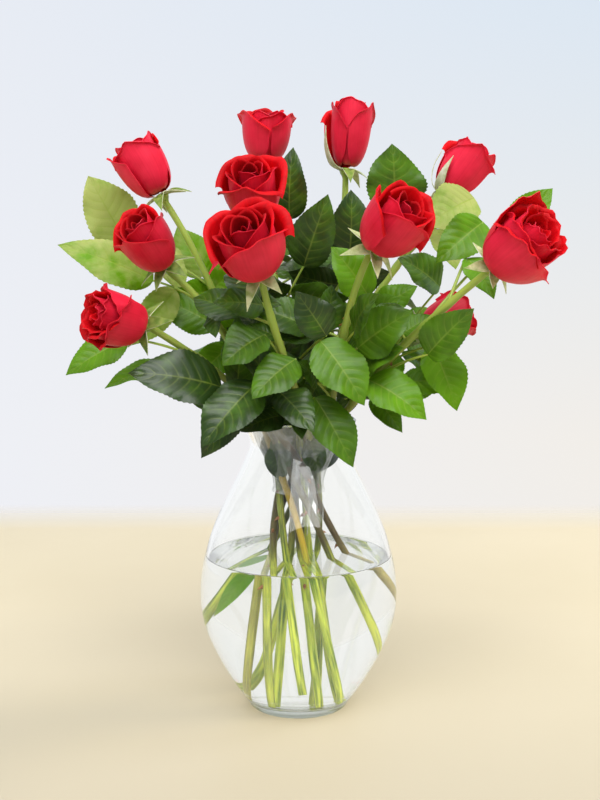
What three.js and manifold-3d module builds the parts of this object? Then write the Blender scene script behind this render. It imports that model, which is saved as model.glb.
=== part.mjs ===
// Twelve long-stemmed red roses standing in water in a clear glass vase.
// Millimetres, +Z up; the origin is the centre of the vase's underside and the front faces -Y.

import * as THREE from 'three';
import Module from 'manifold-3d';

const wasm = await Module();
wasm.setup();

// Driving dimensions.

const SIDES = 26;           // flats round the vase, the water and the wrap
const WALL = 3;             // glass, measured square to its surface
const BASE = 8;             // thick glass bottom
const GAP = 0.3;            // clearance between pieces that rest on each other
const WATER_TOP = 120;
const VASE_OUTSIDE = [      // [height, radius] of the outside, foot to rim
  [0, 37.5], [2.5, 40], [23, 54], [46, 66.5], [68, 75], [90, 77.6], [112, 75.6],
  [134, 70], [156, 61.3], [180, 49.6], [198, 41.3], [211, 38], [227, 45],
];
const RIM = 1.4;            // radius of the rounded rim

const WAIST = 177;          // height at which the stems cross
const RING = 15.5;          // distance of the outer nine stems from the middle there
const CORE_RING = 4.6;      // the same for the three in the middle
const LEAN = 0.5;           // sideways travel per unit of height of the outer stems at the waist
const STEM_FOOT = 3.1;      // stem radius at the cut end
const STEM_TOP = 2.5;       // stem radius under the flower
const STEM_SIDES = 5;
const WRAP = 0.6;           // clear film
const WRAP_SIDES = 18;      // folds of the film, two flats each
const WRAP_INSIDE = [       // [height, radius, depth of its folds]
  [171, 20.6, 0.4], [177, 19.3, 0.1], [188, 21.6, 0.3], [211, 32.4, 0.3], [224, 37.4, 0.5],
];

const PETAL = 0.7;          // petal thickness
const PETALS = 6;           // outer petals of a flower, round its wound heart
const HEART_TURN = 520;     // degrees that the heart is wound through
const BLADE = 0.7;          // leaf thickness
const WAVE = 0.08;          // rise of a leaf's wavy edge, as a share of its half width
const SEPAL = 0.8;
const STALK = [2.0, 1.5];   // leaf stalk, wide and thick
const SIDE_AT = 0.5;        // where along the stalk the side leaflets grow
const CLEAR = 5.4;          // least distance between the sample points of two leaves

// Colours of the glass, the water, the film, the petals and the greens.
const COLOUR = { petal: '#c8101f', green: '#3f6a2a', glass: '#dfe8e6', water: '#e4eeea', film: '#e9eeec' };

// Each rose: lean = azimuth of its stem's lean at the waist, foot = [azimuth, distance, height] of its cut
// end, top = where the stem meets the flower, rise = stem direction just below the flower, axis = the way
// the flower looks, r and h = its radius and height, open = how far its outer petals roll back, hug = its
// left sepals still stand against the petals.
const ROSES = {
  a: { lean: 139, foot: [324, 37, 8.3], top: [-102, 12, 394], rise: [-0.55, 0, 0.84],
    axis: [-0.5, 0, 0.87], r: 23, h: 45, open: 0.75 },
  b: { lean: 179, foot: [352, 56, 46], top: [-95, -30, 341], rise: [-0.8, -0.1, 0.6],
    axis: [-0.41, -0.57, 0.71], r: 22.5, h: 45, open: 0.8 },
  c: { lean: 219, foot: [14, 62, 80], top: [-106, -56, 301], rise: [-0.75, -0.4, 0.5],
    axis: [-0.74, -0.62, 0.26], r: 23.5, h: 43, open: 1 },
  d: { inner: true, lean: 130, foot: [310, 21, 8.3], top: [-28, 58, 421], rise: [-0.1, 0.15, 1],
    axis: [0.05, -0.12, 1], r: 22.5, h: 42, open: 0.9 },
  e: { inner: true, lean: 250, foot: [30, 25, 8.3], top: [-33, -10, 375], rise: [-0.1, -0.3, 1],
    axis: [-0.05, -0.62, 0.78], r: 25, h: 46, open: 1 },
  f: { lean: 259, foot: [79, 36, 8.3], top: [-25, -83, 334], rise: [-0.2, -0.25, 1],
    axis: [-0.24, -0.64, 0.73], r: 29, h: 48, open: 1 },
  g: { inner: true, lean: 10, foot: [215, 17, 8.3], top: [38, 52, 416], rise: [0, 0.1, 1],
    axis: [0.08, 0, 1], r: 20.5, h: 54, open: 0.7, hug: true },
  h: { lean: 299, foot: [119, 44, 20], top: [50, -58, 352], rise: [0.4, -0.25, 0.88],
    axis: [0.5, -0.58, 0.64], r: 26, h: 49, open: 0.9 },
  i: { lean: 59, foot: [239, 36, 8.3], top: [112, 46, 396], rise: [0.5, 0, 0.85],
    axis: [0.57, -0.05, 0.82], r: 21, h: 47, open: 0.8, hug: true },
  j: { lean: -21, foot: [159, 61, 54], top: [131, -80, 341], rise: [0.7, -0.3, 0.62],
    axis: [0.55, -0.64, 0.53], r: 29, h: 50, open: 1 },
  k: { lean: 19, foot: [199, 36, 8.3], top: [90, 12, 291], rise: [0.8, 0, 0.6],
    axis: [0.86, 0.2, 0.42], r: 20.5, h: 41, open: 0.8 },
  l: { lean: 99, foot: [277, 24, 22], top: [-42, 84, 318], rise: [-0.3, 0.5, 0.8],
    axis: [-0.35, 0.78, 0.5], r: 23, h: 43, open: 0.8 },
};

// Leaves that give the bunch its outline: [rose, height at which the leaf stalk leaves its stem, foot of
// the end leaflet, its tip, its width, pairs of side leaflets].
const LEAVES = [
  ['c', 244, [-56, -55, 269], [-121, -72, 288], 44, 1],
  ['f', 236, [12, -50, 250], [40, -60, 200], 36, 0],
  ['k', 238, [51, -45, 263], [93, -60, 235], 38, 1],
  ['b', 318, [-112, 2, 335], [-182, -12, 362], 38, 1],
  ['a', 330, [-140, 48, 366], [-168, 42, 418], 48, 1],
  ['g', 345, [75, 22, 388], [72, 14, 440], 52, 0],
  ['g', 305, [39, 8, 352], [40, 0, 404], 40, 1],
  ['j', 318, [136, -32, 378], [100, -48, 348], 36, 1],
  ['j', 304, [156, -22, 366], [188, -26, 403], 32, 0],
  ['f', 246, [-30, -50, 262], [-67, -62, 220], 42, 1],
  ['h', 262, [16, -60, 292], [47, -74, 247], 42, 0],
  ['k', 262, [101, -22, 287], [119, -32, 238], 38, 1],
  ['d', 340, [-7, 26, 383], [-4, 20, 438], 32, 1],
  ['e', 300, [4, 6, 346], [22, 0, 399], 38, 1],
  ['c', 278, [-132, -6, 294], [-176, -22, 270], 32, 0],
  ['b', 268, [-62, -8, 300], [-108, -12, 322], 36, 1],
  ['h', 272, [40, -45, 286], [76, -62, 314], 42, 1],
  ['j', 262, [94, -48, 282], [124, -62, 316], 34, 0],
  ['f', 272, [-24, -66, 292], [-53, -78, 268], 36, 0],
  ['f', 262, [-2, -66, 280], [-32, -84, 254], 34, 0],
  ['h', 296, [52, -30, 320], [24, -32, 354], 38, 0],
  ['e', 262, [20, -56, 296], [-2, -64, 328], 32, 0],
  ['i', 345, [137, 26, 399], [98, 16, 376], 42, 1],
  ['k', 275, [107, -14, 330], [74, -26, 352], 34, 0],
  ['a', 312, [-76, 26, 338], [-98, 30, 378], 34, 1],
];
const SEED = 24;
const FILL = [11, 9];        // leaves added by rule after those above: in the middle, and all round

// Small helpers.

const V = (p) => new THREE.Vector3(...p);
const mix = (a, b, t) => a.clone().lerp(b, t);
const along = (p, d, t) => p.clone().addScaledVector(d, t);
const rad = (degrees) => degrees * Math.PI / 180;
const clamp = (x, low, high) => Math.min(high, Math.max(low, x));

let seed = SEED;
function draw() {
  seed = (seed * 1664525 + 1013904223) % 4294967296;
  return seed / 4294967296;
}

// A closed body from points and triangles, turned to face outwards.
function body(points, triangles) {
  const vertProperties = new Float32Array(points.flatMap((p) => [p.x, p.y, p.z]));
  let volume = 0;
  for (const [a, b, c] of triangles) volume += points[a].dot(points[b].clone().cross(points[c]));
  const faces = volume < 0 ? triangles.map(([a, b, c]) => [a, c, b]) : triangles;
  const triVerts = new Uint32Array(faces.flat());
  return new wasm.Manifold(new wasm.Mesh({ numProp: 3, vertProperties, triVerts }));
}

// A skin over rings of points that all have the same count; a ring of one point closes an end, and
// any other end gets a flat cap. A closed skin runs from its last ring back to its first instead.
function skin(rings, closed = false) {
  const points = rings.flat();
  const start = rings.map((_, k) => rings.slice(0, k).flat().length);
  const triangles = [];
  for (let k = 0; k + (closed ? 0 : 1) < rings.length; k += 1) {
    const next = (k + 1) % rings.length;
    const [m, n] = [rings[k].length, rings[next].length];
    for (let j = 0; j < Math.max(m, n); j += 1) {
      const a = start[k] + (j % m), b = start[k] + ((j + 1) % m);
      const c = start[next] + (j % n), d = start[next] + ((j + 1) % n);
      if (m > 1) triangles.push([a, b, c]);
      if (n > 1) triangles.push([b, d, c]);
    }
  }
  if (closed) return body(points, triangles);
  for (const [k, turn] of [[0, 1], [rings.length - 1, 0]]) {
    for (let j = 1; j + 1 < rings[k].length; j += 1) {
      const [a, b, c] = [start[k], start[k] + j, start[k] + j + 1];
      triangles.push(turn ? [a, c, b] : [a, b, c]);
    }
  }
  return body(points, triangles);
}

// A ring round the Z axis; every other point stands out by the fold.
function ring(z, r, sides, fold = 0) {
  return r === 0 ? [V([0, 0, z])] : Array.from({ length: sides }, (_, j) => {
    const angle = 2 * Math.PI * (j + 0.5) / sides;
    const radius = r + (j % 2) * fold;
    return V([radius * Math.cos(angle), radius * Math.sin(angle), z]);
  });
}

// A body turned about the Z axis from [height, radius] pairs.
function turned(profile) {
  return skin(profile.map(([z, r]) => ring(z, r, SIDES)));
}

// A round rod along a path: ring k has radius radii[k] and lies square to the path.
function rod(path, radii, sides, level = false) {
  let side = new THREE.Vector3(0.3, 1, 0.1);
  return skin(path.map((p, k) => {
    const way = path[Math.min(k + 1, path.length - 1)].clone().sub(path[Math.max(k - 1, 0)]).normalize();
    side = along(side, way, -side.dot(way)).normalize();
    const other = way.clone().cross(side);
    return Array.from({ length: sides }, (_, j) => {
      const angle = 2 * Math.PI * j / sides;
      const q = along(along(p, side, radii[k] * Math.cos(angle)), other, radii[k] * Math.sin(angle));
      return level && k === 0 ? along(q, way, (p.z - q.z) / way.z) : q;
    });
  }));
}

// A thin plate. Each point has a front and a back, its thickness apart along the normal there; faces
// are listed once, anticlockwise seen from the front, and cut alike on both; a strip closes the border.
class Plate {
  constructor() {
    this.points = [];
    this.faces = [];
  }

  point(p, normal, thickness) {
    this.points.push(along(p, normal, thickness / 2), along(p, normal, -thickness / 2));
    return this.points.length - 2;
  }

  solid() {
    const triangles = [], edges = new Map();
    for (const [a, b, c] of this.faces) {
      triangles.push([a, b, c], [a + 1, c + 1, b + 1]);
      for (const [p, q] of [[a, b], [b, c], [c, a]]) {
        if (!edges.delete(`${q},${p}`)) edges.set(`${p},${q}`, [p, q]);
      }
    }
    for (const [p, q] of edges.values()) triangles.push([p, p + 1, q + 1], [p, q + 1, q]);
    return body(this.points, triangles);
  }
}

function joined(parts) {
  return parts.reduce((all, part) => all.add(part));
}

function node(name, solid, material) {
  const { vertProperties, triVerts } = solid.getMesh();
  const geometry = new THREE.BufferGeometry();
  geometry.setAttribute('position', new THREE.BufferAttribute(vertProperties, 3));
  geometry.setIndex(new THREE.BufferAttribute(triVerts, 1));
  geometry.computeVertexNormals();
  const mesh = new THREE.Mesh(geometry, material);
  mesh.name = name;
  return mesh;
}

// Vase, water and wrap.

function radiusAt(profile, z) {
  const k = clamp(profile.findIndex(([height]) => height > z) - 1, 0, profile.length - 2);
  const [[z0, r0], [z1, r1]] = [profile[k], profile[k + 1]];
  return r0 + (r1 - r0) * (z - z0) / (z1 - z0);
}

// The inside of the glass: the outside moved in by the wall, square to its slope.
function insideRadius(z) {
  const slope = (radiusAt(VASE_OUTSIDE, z + 4) - radiusAt(VASE_OUTSIDE, z - 4)) / 8;
  return radiusAt(VASE_OUTSIDE, z) - WALL * Math.hypot(1, slope);
}

const INSIDE_HEIGHTS = [BASE, 24, 46, 68, 90, 112, 134, 156, 180, 198, 211];
const inside = INSIDE_HEIGHTS.map((z) => [z, insideRadius(z)]);

function vase() {
  const [rimZ, rimR] = VASE_OUTSIDE[VASE_OUTSIDE.length - 1];
  const rim = [[rimZ + RIM, rimR - 1], [rimZ, rimR - 3]];
  return turned([[0, 0], ...VASE_OUTSIDE, ...rim, ...[...inside].reverse(), [BASE, 0]]);
}

// Water fills the glass up to its level, with a plain hole round each stem.
function water(holes) {
  const level = [WATER_TOP, radiusAt(inside, WATER_TOP)];
  const edge = [...inside.filter(([z]) => z < WATER_TOP - 2), level].map(([z, r], k, all) => {
    const [a, b] = [all[Math.max(k - 1, 0)], all[Math.min(k + 1, all.length - 1)]];
    const slope = (b[1] - a[1]) / (b[0] - a[0]);
    return [z + (k === 0 ? GAP : 0), r - 1.1 * GAP * Math.hypot(1, slope) - (k === 0 ? 0.1 : 0)];
  });
  return holes.reduce((left, hole) => left.subtract(hole),
    turned([[BASE + GAP, 0], ...edge, [WATER_TOP, 0]]));
}

// The film stands round the stems like a cuff, drawn in where they cross and lightly folded.
function wrap() {
  const cuff = (more) => WRAP_INSIDE.map(([z, r, fold]) => ring(z, r + more, WRAP_SIDES, fold));
  return skin([...cuff(WRAP), ...cuff(0).reverse()], true);
}

// Stems.

function polar(azimuth, r, z) {
  return V([r * Math.cos(rad(azimuth)), r * Math.sin(rad(azimuth)), z]);
}

// Below the water a stem is straight; it bends a little at the waist and then curves out to its
// flower: a cubic between the lean at the waist and the rise below the flower.
function stemPath(rose) {
  const waist = polar(rose.lean + 90, rose.inner ? CORE_RING : RING, WAIST);
  const lean = polar(rose.lean, rose.inner ? 0.12 : LEAN, 1);
  const foot = polar(...rose.foot);
  const bend = along(waist, lean, -26);
  const knee = mix(foot, bend, (128 - foot.z) / (bend.z - foot.z));
  const top = V(rose.top);
  const rise = V(rose.rise).normalize();
  const reach = top.distanceTo(waist);
  const p1 = along(waist, lean, 0.33 * reach);
  const p2 = along(top, rise, -0.3 * reach);
  const low = [foot, knee, mix(mix(knee, bend, 0.5), mix(bend, waist, 0.5), 0.5), waist];
  const cubic = (t) => {
    const s = 1 - t;
    return new THREE.Vector3().addScaledVector(waist, s * s * s).addScaledVector(p1, 3 * s * s * t)
      .addScaledVector(p2, 3 * s * t * t).addScaledVector(top, t * t * t);
  };
  return { low, cubic, foot, knee };
}

for (const [name, rose] of Object.entries(ROSES)) {
  rose.name = name;
  rose.path = stemPath(rose);
  rose.look = V(rose.axis).normalize();
  rose.east = new THREE.Vector3(0.2, 0.3, 1).cross(rose.look).normalize();
  rose.north = rose.look.clone().cross(rose.east);
  rose.seat = along(V(rose.top), rose.look, 9);
}

function stemRod(rose) {
  const { low, cubic } = rose.path;
  const path = [...low, ...[0.22, 0.46, 0.73, 1].map(cubic)];
  const radii = path.map((_, k) => STEM_FOOT + (STEM_TOP - STEM_FOOT) * k / (path.length - 1));
  const top = V(rose.top);
  path.push(along(top, rose.look, 4), rose.seat);
  radii.push(5.0, 5.4);
  return rod(path, radii, STEM_SIDES, true);
}

function stemHole(rose) {
  const { foot, knee } = rose.path;
  const way = knee.clone().sub(foot).normalize();
  const r = STEM_FOOT + GAP * 1.3;
  return rod([along(foot, way, -1.5 * GAP), along(knee, way, 3)], [r, r], STEM_SIDES, true);
}

// Flowers.

// The heart of a flower: its inner petals wound in one spiral, u = 0..1 along it and v = 0..1 up.
function heartPoint(rose, u, v) {
  const angle = rad(turnOf(rose) + HEART_TURN * u);
  const r = rose.r * (0.09 + 0.28 * u) * (0.5 + 0.5 * Math.sin(Math.PI / 2 * Math.min(1, v / 0.6)))
    * (1 - 0.1 * v ** 4);
  const z = 1.4 + (rose.h * (0.99 - 0.06 * u) - 1.4) * v;
  return inFlower(rose, r, angle, z);
}

// A point of outer petal k of n (0 is the innermost), u = -1..1 across it and v = 0..1 up it. The
// petal follows a goblet profile of its own radius, and its lip rolls outwards over a small arc.
function petalPoint(rose, k, n, u, v) {
  const f = k / (n - 1);
  const radius = rose.r * (0.53 + 0.38 * f);
  const height = rose.h * (1 - (0.05 + 0.12 * rose.open) * f);
  const roll = rad(25 + 85 * f * rose.open) * (1 - 0.3 * u * u);
  const lip = 1.2 + 3 * f * rose.open;
  const w = v * (1 - 0.14 * Math.abs(u) ** 3);
  const t = Math.min(1, w / 0.8), s = 1 - t;
  const zEnd = height - lip;
  const belly = [[3 + f, 2.2 - 1.8 * f], [0.76 * radius, 0.08 * zEnd * (1 - f)], [0.99 * radius, 0.42 * zEnd],
    [radius * (0.88 + 0.13 * f), zEnd]];
  const b = [s * s * s, 3 * s * s * t, 3 * s * t * t, t * t * t];
  const turn = roll * Math.max(0, (w - 0.8) / 0.2);
  const r = belly.reduce((sum, q, j) => sum + b[j] * q[0], lip * (1 - Math.cos(turn)));
  const z = belly.reduce((sum, q, j) => sum + b[j] * q[1], lip * Math.sin(turn));
  const half = rad(78 - 16 * f) * (0.3 + 0.7 * Math.sin(Math.PI / 2 * Math.min(1, w / 0.6)));
  return inFlower(rose, r + 0.25 * u * w, rad(turnOf(rose) + 137.5 * k) + half * u, z);
}

function turnOf(rose) {
  return 40 * rose.name.charCodeAt(0);
}

function inFlower(rose, r, angle, z) {
  return along(along(along(rose.seat, rose.look, z + GAP), rose.east, r * Math.cos(angle)),
    rose.north, r * Math.sin(angle));
}

function steps(from, to, count) {
  return Array.from({ length: count + 1 }, (_, k) => from + (to - from) * k / count);
}

// Adds rows of points of a surface to a plate, with their fronts turned to the flower's middle.
function addRows(plate, at, us, vs) {
  return vs.map((v) => us.map((u) => {
    const p = at(u, v);
    const inward = at(u, v + 0.02).sub(p).cross(at(u + 0.02, v).sub(p)).normalize();
    return plate.point(p, inward, PETAL);
  }));
}

function addBands(plate, rows) {
  for (let k = 0; k + 1 < rows.length; k += 1) {
    const [low, high] = [rows[k], rows[k + 1]];
    for (let c = 0; c + 1 < low.length; c += 1) {
      plate.faces.push([low[c + 1], low[c], high[c]], [low[c + 1], high[c], high[c + 1]]);
    }
  }
}

// The outer petals grow from the rim of a small round floor, in one piece with it; the heart, wound
// from one long sheet, stands on the floor.
function bloom(rose) {
  const plate = new Plate();
  const feet = Array.from({ length: PETALS }, (_, k) => {
    const angle = rad(turnOf(rose) + 137.5 * k);
    const foot = (side) => plate.point(inFlower(rose, 5, angle + side * rad(12), 0.9), rose.look, 1.6);
    return { k, angle: (angle % (2 * Math.PI)), ends: [foot(-1), foot(1)] };
  });
  for (const { k, ends: [left, right] } of feet) {
    const rows = addRows(plate, (u, v) => petalPoint(rose, k, PETALS, u, v), steps(-1, 1, 4), [0.42, 0.8, 1]);
    const low = rows[0];
    plate.faces.push([left, low[0], low[1]], [left, low[1], low[2]], [right, left, low[2]],
      [right, low[2], low[3]], [right, low[3], low[4]]);
    addBands(plate, rows);
  }
  const middle = plate.point(inFlower(rose, 0, 0, 0.9), rose.look, 1.6);
  const rim = [...feet].sort((a, b) => a.angle - b.angle).flatMap((foot) => foot.ends);
  rim.forEach((p, j) => plate.faces.push([middle, p, rim[(j + 1) % rim.length]]));
  const heart = new Plate();
  addBands(heart, addRows(heart, (u, v) => heartPoint(rose, u, v), steps(0, 1, 8), [0, 1]));
  return plate.solid().add(heart.solid());
}

// Leaves.

// A point of a leaf: s = 0..1 along the midrib, u = -1..1 across. The midrib droops along an arc, the
// half width is s^0.55 (1-s)^0.7 scaled to its widest, and both halves fold up a little.
function leafPoint(leaf, s, u) {
  const bend = Math.max(1e-6, leaf.droop);
  const arc = bend * s;
  const p = along(along(leaf.foot, leaf.way, leaf.length * Math.sin(arc) / bend),
    leaf.face, -leaf.length * (1 - Math.cos(arc)) / bend);
  const face = along(leaf.face.clone().multiplyScalar(Math.cos(arc)), leaf.way, Math.sin(arc));
  const half = leaf.width / 2 * s ** 0.55 * (1 - s) ** 0.7 / 0.424;
  p.addScaledVector(leaf.side, half * u * Math.cos(leaf.fold));
  const wave = WAVE * u * u * Math.sin(9 * s + leaf.turn);
  p.addScaledVector(face, half * (Math.abs(u) * Math.sin(leaf.fold) + wave));
  return { p, face };
}

function makeLeaf(foot, tip, width, face, droop = 0.5, fold = 0.2, turn = 0) {
  const chord = tip.clone().sub(foot);
  const straight = chord.clone().normalize();
  const out = along(face, straight, -face.dot(straight)).normalize();
  const way = along(straight.clone().multiplyScalar(Math.cos(droop / 2)), out, Math.sin(droop / 2));
  const up = along(out.clone().multiplyScalar(Math.cos(droop / 2)), straight, -Math.sin(droop / 2));
  const length = chord.length() * (droop / 2) / Math.sin(droop / 2);
  return { foot, way, face: up, side: up.clone().cross(way), length, width, droop, fold, turn };
}

// Adds a blade with its cut edge to a plate, from two points already there: each tooth leans towards
// the tip, and the next starts further in.
function addBlade(plate, leaf, teeth, [left, right], thickness = BLADE) {
  const add = (s, u) => {
    const { p, face } = leafPoint(leaf, s, u);
    return plate.point(p, face, thickness);
  };
  const rib = [null, ...Array.from({ length: teeth }, (_, j) => add((j + 1) / teeth, 0))];
  plate.faces.push([left, right, rib[1]]);
  for (const hand of [-1, 1]) {
    let notch = hand < 0 ? right : left;
    for (let j = 0; j < teeth; j += 1) {
      const tooth = add((j + (j === 0 ? 0.62 : 0.8)) / teeth, hand * 1.04);
      const next = j === teeth - 1 ? rib[teeth] : add((j + 1) / teeth, hand * 0.88);
      const strip = [[j === 0 ? notch : rib[j], tooth, rib[j + 1]]];
      if (j > 0) strip.push([rib[j], notch, tooth]);
      if (j < teeth - 1) strip.push([rib[j + 1], tooth, next]);
      plate.faces.push(...(hand < 0 ? strip : strip.map(([p, q, r]) => [p, r, q])));
      notch = next;
    }
  }
}

// Sample points of a leaf, close enough together that two leaves whose points keep CLEAR apart
// cannot cross.
function leafSamples(leaf) {
  const out = [];
  for (let i = 0; i <= 9; i += 1) {
    for (let j = -3; j <= 3; j += 1) {
      if (i > 0 && i < 9) out.push(leafPoint(leaf, i / 9, j / 3).p);
      else if (j === 0) out.push(leafPoint(leaf, i / 9, 0).p);
    }
  }
  return out;
}

// Everything already placed: points with the distance that leaves keep from them.
const taken = [];
function claim(points, distance, owner) {
  for (const p of points) taken.push({ p, distance, owner });
}
function isClear(points, owner) {
  const middle = points[Math.floor(points.length / 2)];
  const near = taken.filter((t) => t.owner !== owner && t.p.distanceTo(middle) < 55 + t.distance);
  return near.every((t) => points.every((p) => p.distanceToSquared(t.p) > t.distance ** 2));
}

for (const rose of Object.values(ROSES)) {
  const up = Array.from({ length: 81 }, (_, k) => rose.path.cubic(k / 80));
  claim(up, STEM_FOOT + 2.9, rose.name);
  [0.75, 1, 1.1, 1.16, 1.2, 1.24, 1.26, 1.2].forEach((share, k) => {
    const middle = along(rose.seat, rose.look, rose.h * (0.08 + 0.12 * k));
    claim([middle], rose.r * share + 1.5, `${rose.name}flower`);
  });
}
for (const [r, z, distance] of [
  [31, 220, 8], [38, 206, 6.5], [39, 213, 6.5], [42, 220, 6.5], [44, 227, 6.5],
]) claim(Array.from({ length: 44 }, (_, k) => polar(8.2 * k, r, z)), distance, 'vase');

// A leaf stalk from the stem to the foot of the end leaflet, with its side leaflets.
const greens = Object.fromEntries(Object.keys(ROSES).map((name) => [name, []]));
const placedLeaves = [];

function outwardFace(point, lift) {
  return V([point.x, point.y, 0]).normalize().multiplyScalar(0.8).add(V([0, -0.25, lift]));
}

function stemAt(name, height) {
  const { cubic } = ROSES[name].path;
  let [low, high] = [0, 1];
  for (let k = 0; k < 30; k += 1) {
    const half = (low + high) / 2;
    if (cubic(half).z < height) low = half; else high = half;
  }
  return cubic(low);
}

function tryLeaf(name, height, foot, tip, width, pairs, face, number) {
  const start = stemAt(name, height);
  const owner = `${name}${number}/`;
  const leaf = makeLeaf(foot, tip, width, face, 0.35 + 0.5 * draw(), 0.12 + 0.2 * draw(), 6 * draw());
  const stalk = [];
  const middle = mix(start, foot, 0.5).add(V([0, 0, 0.08 * start.distanceTo(foot)]));
  for (let k = 1; k <= 12; k += 1) {
    const t = k / 12;
    stalk.push(mix(mix(start, middle, t), mix(middle, foot, t), t));
  }
  const away = stalk.filter((p) => p.distanceTo(start) > 7);
  const samples = leafSamples(leaf);
  if (!isClear(samples, owner) || !isClearOf(away, owner, name)) return null;
  return { name, owner, start, middle, foot, leaves: [leaf], stalk: away, samples, width, pairs };
}

function isClearOf(points, owner, stem) {
  return points.every((p) => taken.every((t) => t.owner === owner || t.owner === stem
    || p.distanceToSquared(t.p) > (t.distance - 0.6) ** 2));
}

function keep(found) {
  claim(found.samples, CLEAR, found.owner);
  claim(found.stalk, 3.4, found.owner);
  placedLeaves.push(found);
  const [end] = found.leaves;
  for (let k = 0; k < 2 * found.pairs; k += 1) {
    const hand = k % 2 ? 1 : -1;
    const t = SIDE_AT + 1.3 / found.start.distanceTo(found.foot);
    const root = mix(mix(found.start, found.middle, t), mix(found.middle, found.foot, t), t);
    for (const tilt of [0, 0.35, -0.35, 0.7, -0.7, 1.05]) {
      const way = end.side.clone().multiplyScalar(hand).addScaledVector(end.way, 0.3)
        .addScaledVector(end.face, tilt).normalize();
      const foot = along(root, way, 1);
      const length = end.length * (0.72 + 0.12 * draw());
      const width = 0.78 * found.width;
      const leaf = makeLeaf(foot, along(foot, way, length), width, end.face, 0.5, 0.2, 6 * draw());
      const samples = leafSamples(leaf);
      const own = `${found.owner}side${k}`;
      const others = samples.filter((p) => p.distanceTo(root) > 9);
      const gap = (q) => (q.owner.startsWith(found.owner) ? 2.5 : q.owner === found.name ? 4.5 : q.distance);
      if (others.every((p) => taken.every((q) => p.distanceToSquared(q.p) > gap(q) ** 2))) {
        leaf.hand = hand;
        found.leaves.push(leaf);
        claim(samples, CLEAR, own);
        break;
      }
    }
  }
}

// Nudges tried in turn until a leaf is clear of everything: the tip and foot move together and apart.
const NUDGES = [[0, 0, 0]];
for (const reach of [6, 12, 18, 24, 30]) {
  for (const way of [[0, 1, 0], [0, -1, 0], [0, 0, 1], [0, 0, -1], [1, 0, 0], [-1, 0, 0],
    [0, 0.7, 0.7], [0, -0.7, 0.7], [0, 0.7, -0.7], [0, -0.7, -0.7]]) NUDGES.push(way.map((x) => x * reach));
}

LEAVES.forEach(([name, height, foot, tip, width, pairs], number) => {
  const face = V([0.15 * Math.sign(tip[0]), -0.85, 0.5]);
  for (const nudge of NUDGES) {
    const [moved, end] = [V(foot).add(V(nudge).multiplyScalar(0.6)), V(tip).add(V(nudge))];
    const found = tryLeaf(name, height, moved, end, width, pairs, face, number);
    if (found) { keep(found); return; }
  }
});

// Leaves by rule: the first few close the middle of the bunch, the rest go round it.
for (let k = 0; k < FILL[0] + FILL[1]; k += 1) {
  const central = k < FILL[0];
  const name = (central ? 'gehdifkbjcf' : 'lcaibdlgkejh')[central ? k : k - FILL[0]];
  for (let attempt = 0; attempt < 90; attempt += 1) {
    const height = 236 + (ROSES[name].top[2] - 256) * draw();
    const start = stemAt(name, height);
    const azimuth = central ? 2 * Math.PI * draw() : Math.atan2(start.y, start.x) + (draw() - 0.5) * 4.2;
    const lift = -0.35 + 1.2 * draw();
    const way = V([Math.cos(azimuth), Math.sin(azimuth), lift]).normalize();
    const foot = along(start, way, 14 + 16 * draw());
    const tip = along(foot, way, 44 + 16 * draw());
    const face = central ? V([0, -0.8, 0.6]) : outwardFace(tip, 0.8);
    const middle = mix(foot, tip, 0.5);
    const fits = central ? Math.abs(middle.x) < 70 && Math.abs(middle.y) < 60 && middle.z < 360
      : Math.hypot(tip.x, tip.y) < 150 && tip.z < 420;
    const found = fits && tip.z > 232 && tryLeaf(name, height, foot, tip, 32 + 8 * draw(), 1, face, 100 + k);
    if (found) { keep(found); break; }
  }
}

// A compound leaf is one plate: the stalk from inside the stem to the end leaflet, and the side
// leaflets that grow from its edges.
function leafSolid({ start, middle, foot, leaves }) {
  const plate = new Plate();
  const [end, ...sides] = leaves;
  const at = (t) => mix(mix(start, middle, t), mix(middle, foot, t), t);
  const stops = sides.length ? [0, SIDE_AT, SIDE_AT + 2.6 / start.distanceTo(foot), 1] : [0, 1];
  const edge = stops.map((t) => {
    const way = at(t + 0.01).sub(at(t - 0.01)).normalize();
    const face = along(end.face, way, -end.face.dot(way)).normalize();
    const side = face.clone().cross(way);
    return [1, -1].map((hand) => plate.point(along(at(t), side, hand * STALK[0] / 2), face, STALK[1]));
  });
  for (let k = 0; k + 1 < edge.length; k += 1) {
    const [[l0, r0], [l1, r1]] = [edge[k], edge[k + 1]];
    plate.faces.push([r0, r1, l1], [r0, l1, l0]);
  }
  const teeth = (leaf) => (leaf.width > 42 ? 4 : 3);
  addBlade(plate, end, teeth(end), edge[edge.length - 1]);
  for (const side of sides) {
    addBlade(plate, side, teeth(side), side.hand > 0 ? [edge[1][0], edge[2][0]] : [edge[2][1], edge[1][1]]);
  }
  return plate.solid();
}

for (const found of placedLeaves) greens[found.name].push(leafSolid(found));

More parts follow.
